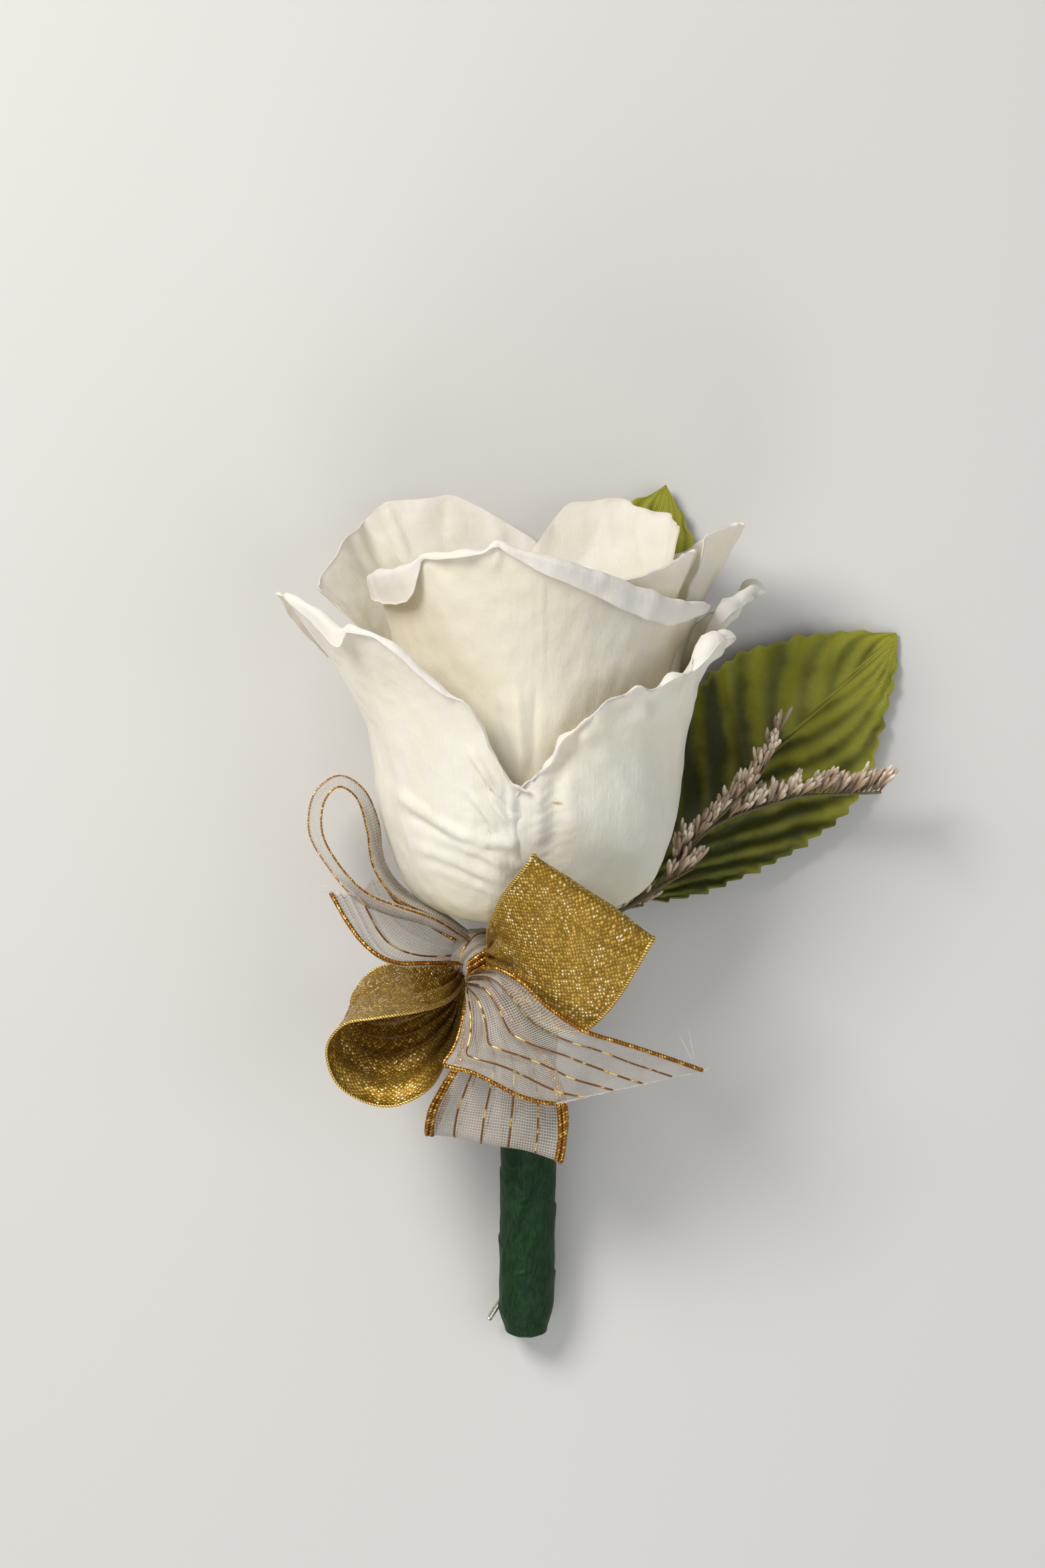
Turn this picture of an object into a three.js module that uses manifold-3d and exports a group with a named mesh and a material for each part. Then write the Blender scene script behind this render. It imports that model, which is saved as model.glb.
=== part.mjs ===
// A rose buttonhole lying face up: one white rose on a taped stem, two satin leaves behind it, a dried
// filler sprig, and a bow of two ribbons, gold and sheer. Millimetres, X across, Y from the stem's end
// towards the petals' tips, Z up from the table. Places are measured from the foot of the rose.
import * as THREE from "three";
import { mergeVertices } from "three/addons/utils/BufferGeometryUtils.js";
import Module from "manifold-3d";

const wasm = await Module();
wasm.setup();

// Driving dimensions
const clothThickness = 0.6;
const petalThickness = 0.8;
const roseDepthShare = 0.92; // the bloom is a little flatter from front to back than it is wide
const roseTilt = 9; // degrees by which the bloom looks up from the table
const roseFoot = 18.3; // height of the bloom's foot above the table
const roseLies = 1.6; // height at which the bloom's back petal is pressed flat, over the leaf under it
const stemLength = 69;
const tapeRadius = 4.6;
const tapeWall = 0.65;
const tapeEndRadius = 3.5;
const stemMouth = -3.8; // where the tape ends, below the bloom's foot
const stemRadius = 2.2;
const hipRadius = 4.4;
const leafHalfWidth = 15;
const stalkRadius = 0.45;

const rad = THREE.MathUtils.degToRad;
const smooth = (from, to, x) => THREE.MathUtils.smoothstep(x, from, to);
const vec = (p) => new THREE.Vector3(...p);
const placed = (p) => (p.isVector3 ? p : vec(p));

// Frames of the bloom and of the stem, both with Y along the stem and Z towards the viewer
const stemTilt = Math.asin((roseFoot - tapeEndRadius) / stemLength);
function frameAtFoot(tiltUp, turn) {
  const frame = new THREE.Group();
  frame.position.set(0, 0, roseFoot);
  frame.rotation.set(tiltUp, 0, turn);
  frame.updateMatrixWorld();
  return frame.matrixWorld;
}
const roseFrame = frameAtFoot(rad(roseTilt), 0);
const stemFrame = frameAtFoot(stemTilt, rad(-0.7));

// A point beside the stem, by its distance from the axis, its angle round it and its height along it.
// Angle 0 is the front and 90 the right.
function byStem(distance, angle, height) {
  const [x, z] = [distance * Math.sin(rad(angle)), distance * Math.cos(rad(angle))];
  return new THREE.Vector3(x, height, z).applyMatrix4(stemFrame);
}

// A small seeded generator, so that the sprig grows the same way each time
function seeded(seed) {
  let state = seed;
  return () => {
    state = (state * 1664525 + 1013904223) % 4294967296;
    return state / 4294967296;
  };
}

function signedVolume(positions, index) {
  const [a, b, c] = [new THREE.Vector3(), new THREE.Vector3(), new THREE.Vector3()];
  let volume = 0;
  for (let i = 0; i < index.length; i += 3) {
    a.fromArray(positions, index[i] * 3);
    b.fromArray(positions, index[i + 1] * 3);
    c.fromArray(positions, index[i + 2] * 3);
    volume += a.dot(b.cross(c)) / 6;
  }
  return volume;
}

// A closed solid from vertices and triangles, turned so that its faces point out
function solidOf(positions, index) {
  const facing = [...index];
  if (signedVolume(positions, facing) < 0) facing.reverse();
  return new wasm.Manifold(
    new wasm.Mesh({
      numProp: 3,
      vertProperties: new Float32Array(positions),
      triVerts: new Uint32Array(facing),
    }),
  );
}

function solidFrom(geometry) {
  const bare = new THREE.BufferGeometry();
  bare.setAttribute("position", geometry.getAttribute("position"));
  if (geometry.index) bare.setIndex(geometry.index);
  const merged = mergeVertices(bare, 1e-4);
  return solidOf(merged.attributes.position.array, merged.index.array);
}

const joined = (solids) => solids.reduce((all, one) => all.add(one));

// The largest body of a joined solid, so that no loose crumb is left
function largest(solid) {
  return solid.decompose().sort((a, b) => b.volume() - a.volume())[0];
}

function meshOf(name, solid, material) {
  const made = solid.getMesh();
  const geometry = new THREE.BufferGeometry();
  const flat = new Float32Array(made.numVert * 3);
  for (let i = 0; i < made.numVert; i++)
    flat.set(made.vertProperties.subarray(i * made.numProp, i * made.numProp + 3), i * 3);
  geometry.setAttribute("position", new THREE.BufferAttribute(flat, 3));
  geometry.setIndex(new THREE.BufferAttribute(made.triVerts, 1));
  geometry.computeVertexNormals();
  const mesh = new THREE.Mesh(geometry, material);
  mesh.name = name;
  return mesh;
}

// A sheet of even thickness on rows of points of equal length, closed round its rim. Both of its
// faces are split into triangles the same way.
function sheet(rows, thickness) {
  const across = rows[0].length;
  const count = rows.length * across;
  const clamp = THREE.MathUtils.clamp;
  const at = (i, j) => rows[clamp(i, 0, rows.length - 1)][clamp(j, 0, across - 1)];
  const positions = new Float32Array(count * 6);
  rows.forEach((row, i) =>
    row.forEach((point, j) => {
      const along = at(i + 1, j).clone().sub(at(i - 1, j));
      const side = at(i, j + 1).clone().sub(at(i, j - 1));
      const normal = along.cross(side).setLength(thickness / 2);
      const k = i * across + j;
      point.clone().add(normal).toArray(positions, k * 3);
      point.clone().sub(normal).toArray(positions, (count + k) * 3);
    }),
  );
  const index = [];
  for (let i = 0; i + 1 < rows.length; i++)
    for (let j = 0; j + 1 < across; j++) {
      const a = i * across + j;
      const [b, c, d] = [a + across, a + across + 1, a + 1];
      index.push(a, b, c, a, c, d);
      index.push(count + a, count + c, count + b, count + a, count + d, count + c);
    }
  const rim = [];
  for (let i = 0; i < rows.length - 1; i++) rim.push(i * across);
  for (let j = 0; j < across - 1; j++) rim.push((rows.length - 1) * across + j);
  for (let i = rows.length - 1; i > 0; i--) rim.push(i * across + across - 1);
  for (let j = across - 1; j > 0; j--) rim.push(j);
  rim.forEach((a, i) => {
    const b = rim[(i + 1) % rim.length];
    index.push(b, a, count + a, b, count + a, count + b);
  });
  return solidOf(positions, index);
}

// A round rod along a smooth path
function rod(points, radius, sides, steps) {
  const path = new THREE.CatmullRomCurve3(points.map(placed), false, "centripetal");
  const corners = Array.from({ length: sides }, (_, i) => {
    const angle = (i / sides) * 2 * Math.PI;
    return new THREE.Vector2(radius * Math.cos(angle), radius * Math.sin(angle));
  });
  const shape = new THREE.Shape(corners);
  return solidFrom(new THREE.ExtrudeGeometry(shape, { steps, extrudePath: path, bevelEnabled: false }));
}

// A turned solid about the stem's axis, from pairs of radius and height
function turned(outline, around) {
  return solidFrom(new THREE.LatheGeometry(outline.map((p) => new THREE.Vector2(...p)), around));
}

// The bloom, in its own frame. Each petal leaves the foot flat, bends up into the cup, and leans out or
// rolls over at its margin. turn and span are degrees round the axis; length is measured along the petal;
// drop and square give the margin's outline, apex its point, lopside its slant, lean and lip its bending out.
const plainPetal = { drop: 0.2, square: 8, apex: 0, lean: 0, lip: 0, lopside: 0 };
const shapedPetals = {
  frontLeft: {
    turn: -76, span: 78, radius: 24.5, length: 60,
    square: 10, apex: 11, lean: 38, lip: 30,
  },
  frontRight: {
    turn: 78, span: 102, radius: 23.4, length: 54,
    drop: 0.38, square: 12, apex: 5, lean: 34, lip: 30,
  },
  outerBackRight: {
    turn: 112, span: 38, radius: 22.2, length: 57,
    drop: 0.4, apex: 8, lean: 42, lip: 40,
  },
  outerBack: { turn: 186, span: 56, radius: 21, length: 60, drop: 0.3, lean: 26 },
  pointedRight: { turn: 98, span: 48, radius: 20.9, length: 64, drop: 0.3, apex: 8, lean: 26 },
  tallBackLeft: {
    turn: -128, span: 54, radius: 19.8, length: 71,
    drop: 0.12, lean: 34, lopside: 0.08,
  },
  tallBackRight: { turn: 148, span: 46, radius: 18.8, length: 68, drop: 0.12, lean: 16 },
  frontMiddle: {
    turn: -1, span: 86, radius: 19.4, length: 69,
    drop: 0.14, lean: 22, lip: 120, lopside: 0.07,
  },
  innerRight: { turn: 62, span: 74, radius: 16.8, length: 60, lean: 4 },
  innerLeft: { turn: -70, span: 74, radius: 15.2, length: 59, lean: 2 },
  innerBack: { turn: 180, span: 74, radius: 13.4, length: 58 },
  budRight: { turn: 40, span: 76, radius: 11.6, length: 56 },
  budLeft: { turn: -90, span: 76, radius: 9.8, length: 54 },
};
const petals = Object.values(shapedPetals).map((petal) => ({ ...plainPetal, ...petal }));
const petalRoot = 3; // radius at which the petals leave the foot
const petalRise = 1; // how much higher a petal leaves the foot than the outermost, for each mm inside it
const lipWidth = 5;
const apexWidth = 0.2; // in half-spans
const leanSpread = 1.3; // how far to its sides a petal leans as it does in its middle, in half-spans
const outermost = Math.max(...petals.map((petal) => petal.radius));
const innermostShown = 19; // petals inside this radius are hidden in the cup, and are made with fewer faces

function petalLength(petal, s) {
  const margin = (1 - petal.drop * s * s) * Math.sqrt(Math.max(0, 1 - Math.abs(s) ** petal.square));
  const slanted = 1 - petal.lopside * s;
  return petal.length * margin * slanted + petal.apex * Math.exp(-((s / apexWidth) ** 2));
}

// The height above the table below which no petal of this radius may reach, where the bloom is pressed flat
const pressedTo = (petal) => roseLies + (outermost - petal.radius) * 0.9;

function petalColumn(petal, s, up) {
  const fine = 6;
  const steps = up * fine;
  const scale = petal.radius / 25;
  const length = petalLength(petal, s);
  const turn = rad(petal.turn + s * petal.span);
  const leanHere = petal.lean * Math.exp(-((s / leanSpread) ** 2));
  let radius = petalRoot;
  let height = 0.4 + petalRise * (outermost - petal.radius);
  const points = [];
  for (let j = 0; j <= steps; j++) {
    const along = (length * j) / steps;
    if (j % fine === 0) {
      const [x, z] = [radius * Math.sin(turn), radius * Math.cos(turn) * roseDepthShare];
      const point = new THREE.Vector3(x, height, z).applyMatrix4(roseFrame);
      point.z = Math.max(point.z, pressedTo(petal));
      points.push(point);
    }
    const cup = 90 - 70 * smooth(6 * scale, 23 * scale, along) - 20 * smooth(22 * scale, 40 * scale, along);
    const lean = leanHere * smooth(28, 62, along);
    const roll = petal.lip * smooth(length - lipWidth, length, along);
    const heading = rad(cup + lean + roll);
    radius += (length / steps) * Math.sin(heading);
    height += (length / steps) * Math.cos(heading);
  }
  return points;
}

function petalSheet(petal) {
  const [across, up] = petal.radius < innermostShown ? [6, 4] : [Math.round(petal.span / 9), 6];
  const widest = 0.98;
  const columns = Array.from({ length: across + 1 }, (_, i) => {
    const s = widest * (-1 + (2 * i) / across);
    return petalColumn(petal, s, up);
  });
  const rows = Array.from({ length: up + 1 }, (_, j) => columns.map((column) => column[j]));
  return sheet(rows, petalThickness);
}

const budOutline = [[0, 0.1], [4.2, 0.1], [5, 10], [5.4, 24], [4.6, 40], [2.4, 47], [0, 48.5]];
function roseBloom() {
  const bud = turned(budOutline, 10).transform(roseFrame.toArray());
  return largest(joined([bud, ...petals.map(petalSheet)]));
}

// The rose's own cut stem, swelling into the hip that carries the petals
const stemOutline = [
  [0, -stemLength + 2.2], [stemRadius, -stemLength + 2.2], [stemRadius, -2.7],
  [hipRadius, -1.3], [3.9, -0.65], [0, -0.65],
];
const roseStem = () => turned(stemOutline, 14).transform(stemFrame.toArray());

// Floral tape wound up the stem: a blind sleeve whose outside steps where each turn laps the next
const tapePitch = 11;
const tapeBore = tapeRadius - tapeWall;
function tapeOutside(angle, height) {
  const turns = height / tapePitch + angle / (2 * Math.PI);
  const lap = 0.32 * (turns - Math.floor(turns)) ** 2;
  const wrinkle = 0.1 * Math.sin(3 * angle + height * 0.5) + 0.08 * Math.sin(5 * angle - height * 0.9);
  const narrowing = (tapeRadius - tapeEndRadius) * smooth(stemLength - 6, stemLength, -height);
  return tapeRadius - 0.3 + lap + wrinkle - narrowing;
}

const wireRadius = 0.45;
const wireHoleRadius = 1.1;
const wireDistance = 3.1;
const wireAngle = -95;
const wireBend = byStem(wireDistance, wireAngle, -61);
const wireEnd = new THREE.Vector3(-5.9, -66.6, -0.3).applyMatrix4(stemFrame);
function stemTape() {
  const [around, along] = [14, 22];
  const rings = [];
  const ring = (height, radiusAt) => {
    for (let i = 0; i < around; i++) {
      const angle = (i / around) * 2 * Math.PI;
      rings.push(radiusAt(angle) * Math.sin(angle), height, radiusAt(angle) * Math.cos(angle));
    }
  };
  for (let j = 0; j <= along; j++) {
    const height = -stemLength + ((stemMouth + stemLength) * j) / along;
    ring(height, (angle) => tapeOutside(angle, height));
  }
  const floor = -stemLength + 1.4;
  ring(stemMouth, () => tapeBore);
  ring(-stemLength + 8, () => tapeBore);
  ring(floor, () => tapeBore - 0.9);
  const ringCount = along + 4;
  const index = [];
  for (let r = 0; r + 1 < ringCount; r++)
    for (let i = 0; i < around; i++) {
      const next = (i + 1) % around;
      const [a, b, c, d] = [r * around + i, r * around + next, (r + 1) * around + next, (r + 1) * around + i];
      index.push(a, b, c, a, c, d);
    }
  const under = ringCount * around;
  const inside = under + 1;
  rings.push(0, -stemLength, 0, 0, floor, 0);
  for (let i = 0; i < around; i++) {
    const next = (i + 1) % around;
    index.push(under, next, i);
    index.push(inside, (ringCount - 1) * around + i, (ringCount - 1) * around + next);
  }
  const sleeve = solidOf(rings, index).transform(stemFrame.toArray());
  const wayOut = wireEnd.clone().sub(wireBend);
  const holeStart = wireBend.clone().addScaledVector(wayOut, -0.1);
  const holeEnd = wireBend.clone().addScaledVector(wayOut, 1.6);
  return sleeve.subtract(rod([holeStart, holeEnd], wireHoleRadius, 8, 1));
}

// The stub wire that stiffens the stem. Its cut end shows through the tape near the bottom.
function stubWire() {
  const seat = [-8, -32, -56].map((height) => byStem(wireDistance, wireAngle, height));
  return rod([...seat, wireBend, wireEnd], wireRadius, 6, 16);
}

// Satin leaves: a serrated blade pressed with side veins, and a moulded stalk that goes down into the tape.
// The top leaf lies flat on the table under the bloom, and only its tip curls up. The shares are of the
// half-width; arch, press and curl are heights; seat is the stalk's angle round the stem.
const leaves = {
  right: {
    base: [14.4, 1.8, 4.9],
    tip: [57.1, 43, 0.7],
    leftShare: 1,
    rightShare: 0.92,
    arch: 0.6,
    press: 0.5,
    curl: 0,
    seat: 128,
  },
  top: {
    base: [1.6, 9.9, 0.3],
    tip: [21.4, 67.6, 0.3],
    leftShare: 0.85,
    rightShare: 0.85,
    arch: 0,
    press: 0,
    curl: 1.8,
    seat: 185,
  },
};
const leafTeeth = 13;
const leafToothDepth = 0.9;
const leafVeins = 7;
const leafSides = [-1, -0.66, -0.33, 0, 0.33, 0.66, 1];

const leafOutline = (along) => along ** 0.9 * (1 - along) ** 0.8;
const leafCurlFrom = 0.6;

function leafPoint(leaf, along, side, tooth = 0) {
  const base = vec(leaf.base);
  const axis = vec(leaf.tip).sub(base);
  const up = new THREE.Vector3(0, 0, 1);
  const across = axis.clone().cross(up).normalize();
  const share = side < 0 ? leaf.leftShare : leaf.rightShare;
  const width = (leafHalfWidth * share * leafOutline(along)) / leafOutline(0.53);
  const offset = side * (width + tooth);
  const vein = (along - 0.2 * Math.abs(side)) * leafVeins;
  const pleat = Math.abs(2 * (vein - Math.floor(vein)) - 1);
  const pressed = leaf.press * pleat * Math.min(1, 3 * Math.abs(side));
  const rise = leaf.arch * Math.sin(Math.PI * along) + pressed + leaf.curl * smooth(leafCurlFrom, 1, along);
  return base.addScaledVector(axis, along).addScaledVector(across, offset).addScaledVector(up, rise);
}

function leafBlade(leaf) {
  const rows = [];
  const [first, last] = [0.012, 0.992];
  const row = (along, tooth) => rows.push(leafSides.map((side) => leafPoint(leaf, along, side, tooth)));
  row(first, 0);
  for (let i = 0; i < leafTeeth; i++) {
    row((i + 0.75) / leafTeeth, i ? leafToothDepth : 0);
    row(Math.min(last, (i + 1) / leafTeeth), 0);
  }
  return sheet(rows, clothThickness);
}

// How a stalk runs inside the tape and bends away over its mouth, clear of the rose's hip
const stalkDistance = 3.1;
const stalkUnder = 1.25; // how far below the blade's middle the stalk's own axis runs
function fromTape(angle, deepest) {
  const seat = [deepest, (deepest + stemMouth) / 2, stemMouth - 0.6];
  const bend = [[3.2, -2.9], [4.3, -2.2], [6, -1.9]];
  const points = seat.map((height) => byStem(stalkDistance, angle, height));
  return [...points, ...bend.map(([distance, height]) => byStem(distance, angle, height))];
}
const underBlade = (leaf, along) => leafPoint(leaf, along, 0).add(new THREE.Vector3(0, 0, -stalkUnder));
const leafStalk = (leaf, path) =>
  rod([...fromTape(leaf.seat, -stemLength + 12), ...path], stalkRadius, 6, 24);
const rightStalk = () =>
  leafStalk(leaves.right, [
    [7.6, -1.4, 11.4], [10.8, -0.4, 6.8],
    underBlade(leaves.right, 0.02), underBlade(leaves.right, 0.2), underBlade(leaves.right, 0.45),
  ]);
const topStalk = () =>
  leafStalk(leaves.top, [[0.2, 0.8, 8.6], [0.8, 3.4, 2.6], [1.2, 6.4, 0.6], [1.6, 10.2, 0.46]]);

// Dried filler: thin branching stems set with slender buds, mostly on their upper side
const branches = [
  {
    path: [
      [19.3, 3.6, 12], [24.6, 10.4, 12.6], [30.5, 16, 14],
      [34.6, 20.2, 15.2], [36.8, 23.4, 16], [37.9, 26.6, 17],
    ],
    buds: 30,
    from: 0.15,
  },
  {
    path: [
      [22.2, 7.4, 12.2], [27.4, 12.6, 12.2], [32, 15, 12.6],
      [37.5, 16.8, 13], [43.1, 18.2, 13.6], [49, 18.4, 14.2], [54.6, 18.7, 15],
    ],
    buds: 34,
    from: 0.3,
  },
  { path: [[11.5, -0.9, 13.4], [14.5, 0.4, 11.6], [17.6, 1.0, 10.6]], buds: 5, from: 0.4 },
  { path: [[18.6, 2.8, 12], [22.4, 5.2, 13.2], [25.2, 6.8, 14.4]], buds: 6, from: 0.35 },
];
const budLength = 3.3;
const budRadius = 0.55;
const sprigAngle = 75;
const sprigSeed = 13;

// A slender bud with three sides, widest past its middle
function sprigBud(root, heading, length) {
  const side = heading.clone().cross(new THREE.Vector3(0.3, 0.2, 0.93)).normalize();
  const other = heading.clone().cross(side).normalize();
  const widest = root.clone().addScaledVector(heading, length * 0.62);
  const corners = [0, 1, 2].map((i) => {
    const angle = (i * 2 * Math.PI) / 3;
    const corner = widest.clone().addScaledVector(side, budRadius * Math.cos(angle));
    return corner.addScaledVector(other, budRadius * Math.sin(angle));
  });
  const points = [root, root.clone().addScaledVector(heading, length), ...corners];
  const index = [0, 1, 2].flatMap((i) => {
    const [a, b] = [2 + i, 2 + ((i + 1) % 3)];
    return [0, b, a, 1, a, b];
  });
  return solidOf(points.flatMap((point) => point.toArray()), index);
}

function fillerSprig() {
  const random = seeded(sprigSeed);
  const [high, low, byStalk, small] = branches.map((branch) => branch.path);
  const pieces = [
    rod([...fromTape(sprigAngle, -26), byStalk[0], byStalk[1], high[0]], 0.42, 5, 16),
    rod([byStalk[1], small[0], low[0], low[1]], 0.4, 4, 6),
  ];
  for (const branch of branches) {
    const path = new THREE.CatmullRomCurve3(branch.path.map(vec));
    pieces.push(rod(branch.path, 0.36, 4, branch.path.length + 2));
    for (let i = 0; i < branch.buds; i++) {
      const along = branch.from + ((1 - branch.from) * (i + 0.5)) / branch.buds;
      const spread = new THREE.Vector3(random() * 0.5 - 0.3, 0.75 + 0.3 * random(), random() * 1.5 - 0.55);
      const heading = path.getTangentAt(along).multiplyScalar(0.7).add(spread).normalize();
      pieces.push(sprigBud(path.getPointAt(along), heading, budLength * (0.85 + 0.3 * random())));
    }
  }
  return largest(joined(pieces));
}

// The bow is tied at the stem's left. A place in it is given by its distance from the stem's axis, and by
// how far it lies round the stem, towards the viewer, and up the stem.
const bowAngle = -70;
const bowHeight = -5.9;
const gatherCentre = 8.2;
const knotCentre = 8.8;
const ringInside = tapeRadius + 0.55;
const ringOutside = 6.2;
function bowPoint(distance, round, up) {
  const [outX, outZ] = [Math.sin(rad(bowAngle)), Math.cos(rad(bowAngle))];
  const [x, z] = [distance * outX + round * outZ, distance * outZ - round * outX];
  return new THREE.Vector3(x, bowHeight + up, z).applyMatrix4(stemFrame);
}

function bowBlob(distance, sizes, around, rings) {
  const ball = new THREE.SphereGeometry(1, around, rings);
  const position = ball.getAttribute("position");
  for (let i = 0; i < position.count; i++) {
    const [round, up, out] = [position.getX(i), position.getY(i), position.getZ(i)];
    const place = bowPoint(distance + out * sizes.out, round * sizes.round, up * sizes.up);
    position.setXYZ(i, place.x, place.y, place.z);
  }
  return solidFrom(ball);
}

function bowBlock(distance, sizes) {
  const block = new THREE.BoxGeometry(2 * sizes.round, 2 * sizes.up, 2 * sizes.out);
  const position = block.getAttribute("position");
  for (let i = 0; i < position.count; i++) {
    const place = bowPoint(distance + position.getZ(i), position.getX(i), position.getY(i));
    position.setXYZ(i, place.x, place.y, place.z);
  }
  return solidFrom(block);
}

// A run of ribbon lofted between its two selvages, which are matched by their length. swell lifts it
// off the straight line between them.
function ribbonRun(selvages, along, across, swell = () => 0) {
  const [first, second] = selvages.map(
    (points) => new THREE.CatmullRomCurve3(points.map(placed), false, "centripetal"),
  );
  const rows = [];
  for (let i = 0; i <= along; i++) {
    const t = i / along;
    const [a, b] = [first.getPointAt(t), second.getPointAt(t)];
    const side = b.clone().sub(a);
    const heading = first.getTangentAt(t).add(second.getTangentAt(t)).normalize();
    const normal = side.clone().cross(heading).normalize();
    const row = Array.from({ length: across + 1 }, (_, j) => {
      const u = j / across;
      return a.clone().addScaledVector(side, u).addScaledVector(normal, swell(t, u));
    });
    rows.push(row);
  }
  return sheet(rows, clothThickness);
}
const bowed = (amount) => (t, u) => amount * Math.sin(Math.PI * t) * 4 * u * (1 - u);
const cupped = (depth) => (t, u) => depth * Math.sin(Math.PI * (0.12 + 0.6 * t)) * 4 * u * (1 - u);

// Gold ribbon: two loops that start and end in the gathered middle
const gatherSizes = { out: 1.1, up: 2.1, round: 4.6 };
const gatherEnd = (end, up) => bowPoint(gatherCentre, 3.7 * end, up);
const goldRightLoop = [
  [
    gatherEnd(1, 1), [-6.6, -3.6, 29.5], [-6.2, -1.2, 37.4],
    [-4.0, 3.6, 43.6], [-0.6, 8.0, 47.3], [0.2, 9.2, 47.3],
    [0.3, 9.1, 45.7], [-1.2, 6.8, 44.5], [-5.0, 0.8, 38.2], [-5.8, -2.8, 29.8], gatherEnd(1, 0.6),
  ],
  [
    gatherEnd(1, -1), [-4.0, -10.2, 28.4], [0.8, -15.8, 32.4],
    [7.0, -17.6, 34.6], [11.6, -14.0, 37.4], [17.4, -4.6, 42.2],
    [18.3, -3.1, 41.6], [17.2, -4.8, 39.8], [10.8, -13.0, 34.6], [2.0, -12.6, 29.4], gatherEnd(1, -0.6),
  ],
];
const goldLeftLoop = [
  [
    gatherEnd(-1, -1), [-11.0, -11.4, 19.4], [-13.4, -13.6, 29],
    [-17.6, -14.6, 34.6], [-23.5, -15.5, 35.4], [-28.6, -16.6, 34],
    [-31.2, -20.2, 32.2], [-29.9, -25.4, 30.8], [-25.8, -28.4, 30.4],
    [-21.2, -29.1, 31], [-16.2, -26.9, 30.6],
    [-13.4, -23, 24.4], [-11.2, -17, 18.2], gatherEnd(-1, -0.6),
  ],
  [
    gatherEnd(-1, 1), [-12.8, -7.6, 15.8], [-19.6, -8.0, 14.4],
    [-24.4, -9.0, 14], [-27.2, -11.8, 14.2], [-27.6, -14, 14.6],
    [-25.4, -15.6, 15.2], [-20.4, -15.6, 15.8], [-15.2, -14.2, 16.0],
    [-11.4, -11.4, 15.8], gatherEnd(-1, 0.4),
  ],
];
function goldRibbon() {
  const gather = bowBlob(gatherCentre, gatherSizes, 10, 8);
  const rightLoop = ribbonRun(goldRightLoop, 24, 4, bowed(0.6));
  const leftLoop = ribbonRun(goldLeftLoop, 26, 4, bowed(-0.8));
  return largest(joined([gather, rightLoop, leftLoop]));
}

// Sheer ribbon: a ring round the stem, closed by the knot over the gold ribbon, with two loops and two tails
const knotSizes = { out: 3.6, up: 3.6, round: 2.6 };
const knotPlace = (out, round, up) => bowPoint(knotCentre + out, round, up);
const sheerUpperLoop = [
  [
    knotPlace(1, 1.2, 1.8), [-15.0, -0.6, 30.0], [-20.4, 1.4, 32.6],
    [-25.2, 3.0, 33.6], [-29.9, 7.0, 33.0], [-33.2, 12.4, 32],
    [-32.6, 18.2, 31.4], [-29.8, 20.3, 31.2], [-26.6, 18.6, 31],
    [-24.8, 13.6, 30.6], [-23.9, 7.4, 30], [-21.1, 2.8, 29.2],
    [-15.6, -0.2, 26.6], knotPlace(0.6, 1.2, 2.2),
  ],
  [
    knotPlace(1, -1.2, 1.8), [-14.6, -1.8, 21.6], [-20.0, 0.0, 20.0],
    [-25.6, 2.0, 16.4], [-30.8, 7.2, 12.6], [-34.2, 12.6, 10.8],
    [-33.4, 18.8, 10.2], [-30.2, 21.3, 10], [-26.8, 19.2, 10.2],
    [-24.6, 14.0, 10.8], [-23.6, 7.8, 12], [-20.6, 3.4, 14.4],
    [-15.2, 0.2, 17.6], knotPlace(0.6, -1.2, 2.2),
  ],
];
const sheerLeftTail = [
  [
    knotPlace(1.6, 0.8, -1.2), [-16.3, -7.5, 26.4], [-20.5, -7.4, 28], [-23.6, -6.2, 28], [-26.2, -4.0, 27],
    [-28.6, -0.8, 25.6], [-31, 3.3, 24],
  ],
  [
    knotPlace(1.6, 0, 1.2), [-14.4, -2.6, 21.4], [-17.4, -0.6, 22.2], [-19.6, 1.0, 23], [-21.2, 2.4, 23.4],
    [-22.4, 4.2, 23], [-23.2, 6.0, 22.2],
  ],
];
const sheerRightTail = [
  [
    knotPlace(1.2, 1.4, -1.4), [-9.6, -9.6, 27.6], [-8.2, -8.4, 31.0],
    [-5.4, -8.0, 34.0], [-1.6, -10.0, 36.2],
    [2.6, -13.8, 37.4], [7.8, -17.2, 38.2], [13.6, -19.2, 36.6], [19.3, -21.2, 33.4], [26.2, -23.8, 29.6],
  ],
  [
    knotPlace(1.2, 1, -2), [-10.4, -15.6, 28.2], [-11.8, -20.2, 29.6],
    [-13.4, -22.8, 30.4], [-12.4, -23.2, 31.2],
    [-9.2, -23.9, 32.2], [-5.6, -25.6, 32.8], [-2.0, -27.4, 33], [1.4, -28.4, 32.8], [3.6, -28.7, 32.4],
  ],
];
const sheerLowerLoop = [
  [
    knotPlace(0.6, 1, -2.2), [-10.6, -16, 25.4], [-11.3, -22.4, 26],
    [-13.6, -26.4, 25.2], [-15.6, -30.2, 24], [-16.2, -33.4, 23],
    [-16.1, -34.2, 22], [-15.6, -33.2, 20.8], [-13.8, -29, 21.2],
    [-11.6, -24, 22.6], [-9.6, -16, 22.8], knotPlace(0.4, 0.4, -2.4),
  ],
  [
    knotPlace(0, 1.2, -2.2), [-3.6, -15.6, 26.4], [2.4, -22.4, 27.2],
    [4.6, -28.7, 25.6], [5.1, -34, 24.4], [4.7, -37.6, 23.8],
    [4.5, -38.4, 22.8], [4.6, -37.2, 21.6], [5.4, -32, 22.2],
    [4.2, -26, 22.8], [-3.0, -15.6, 22.6], knotPlace(-0.2, 0.6, -2.4),
  ],
];
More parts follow.
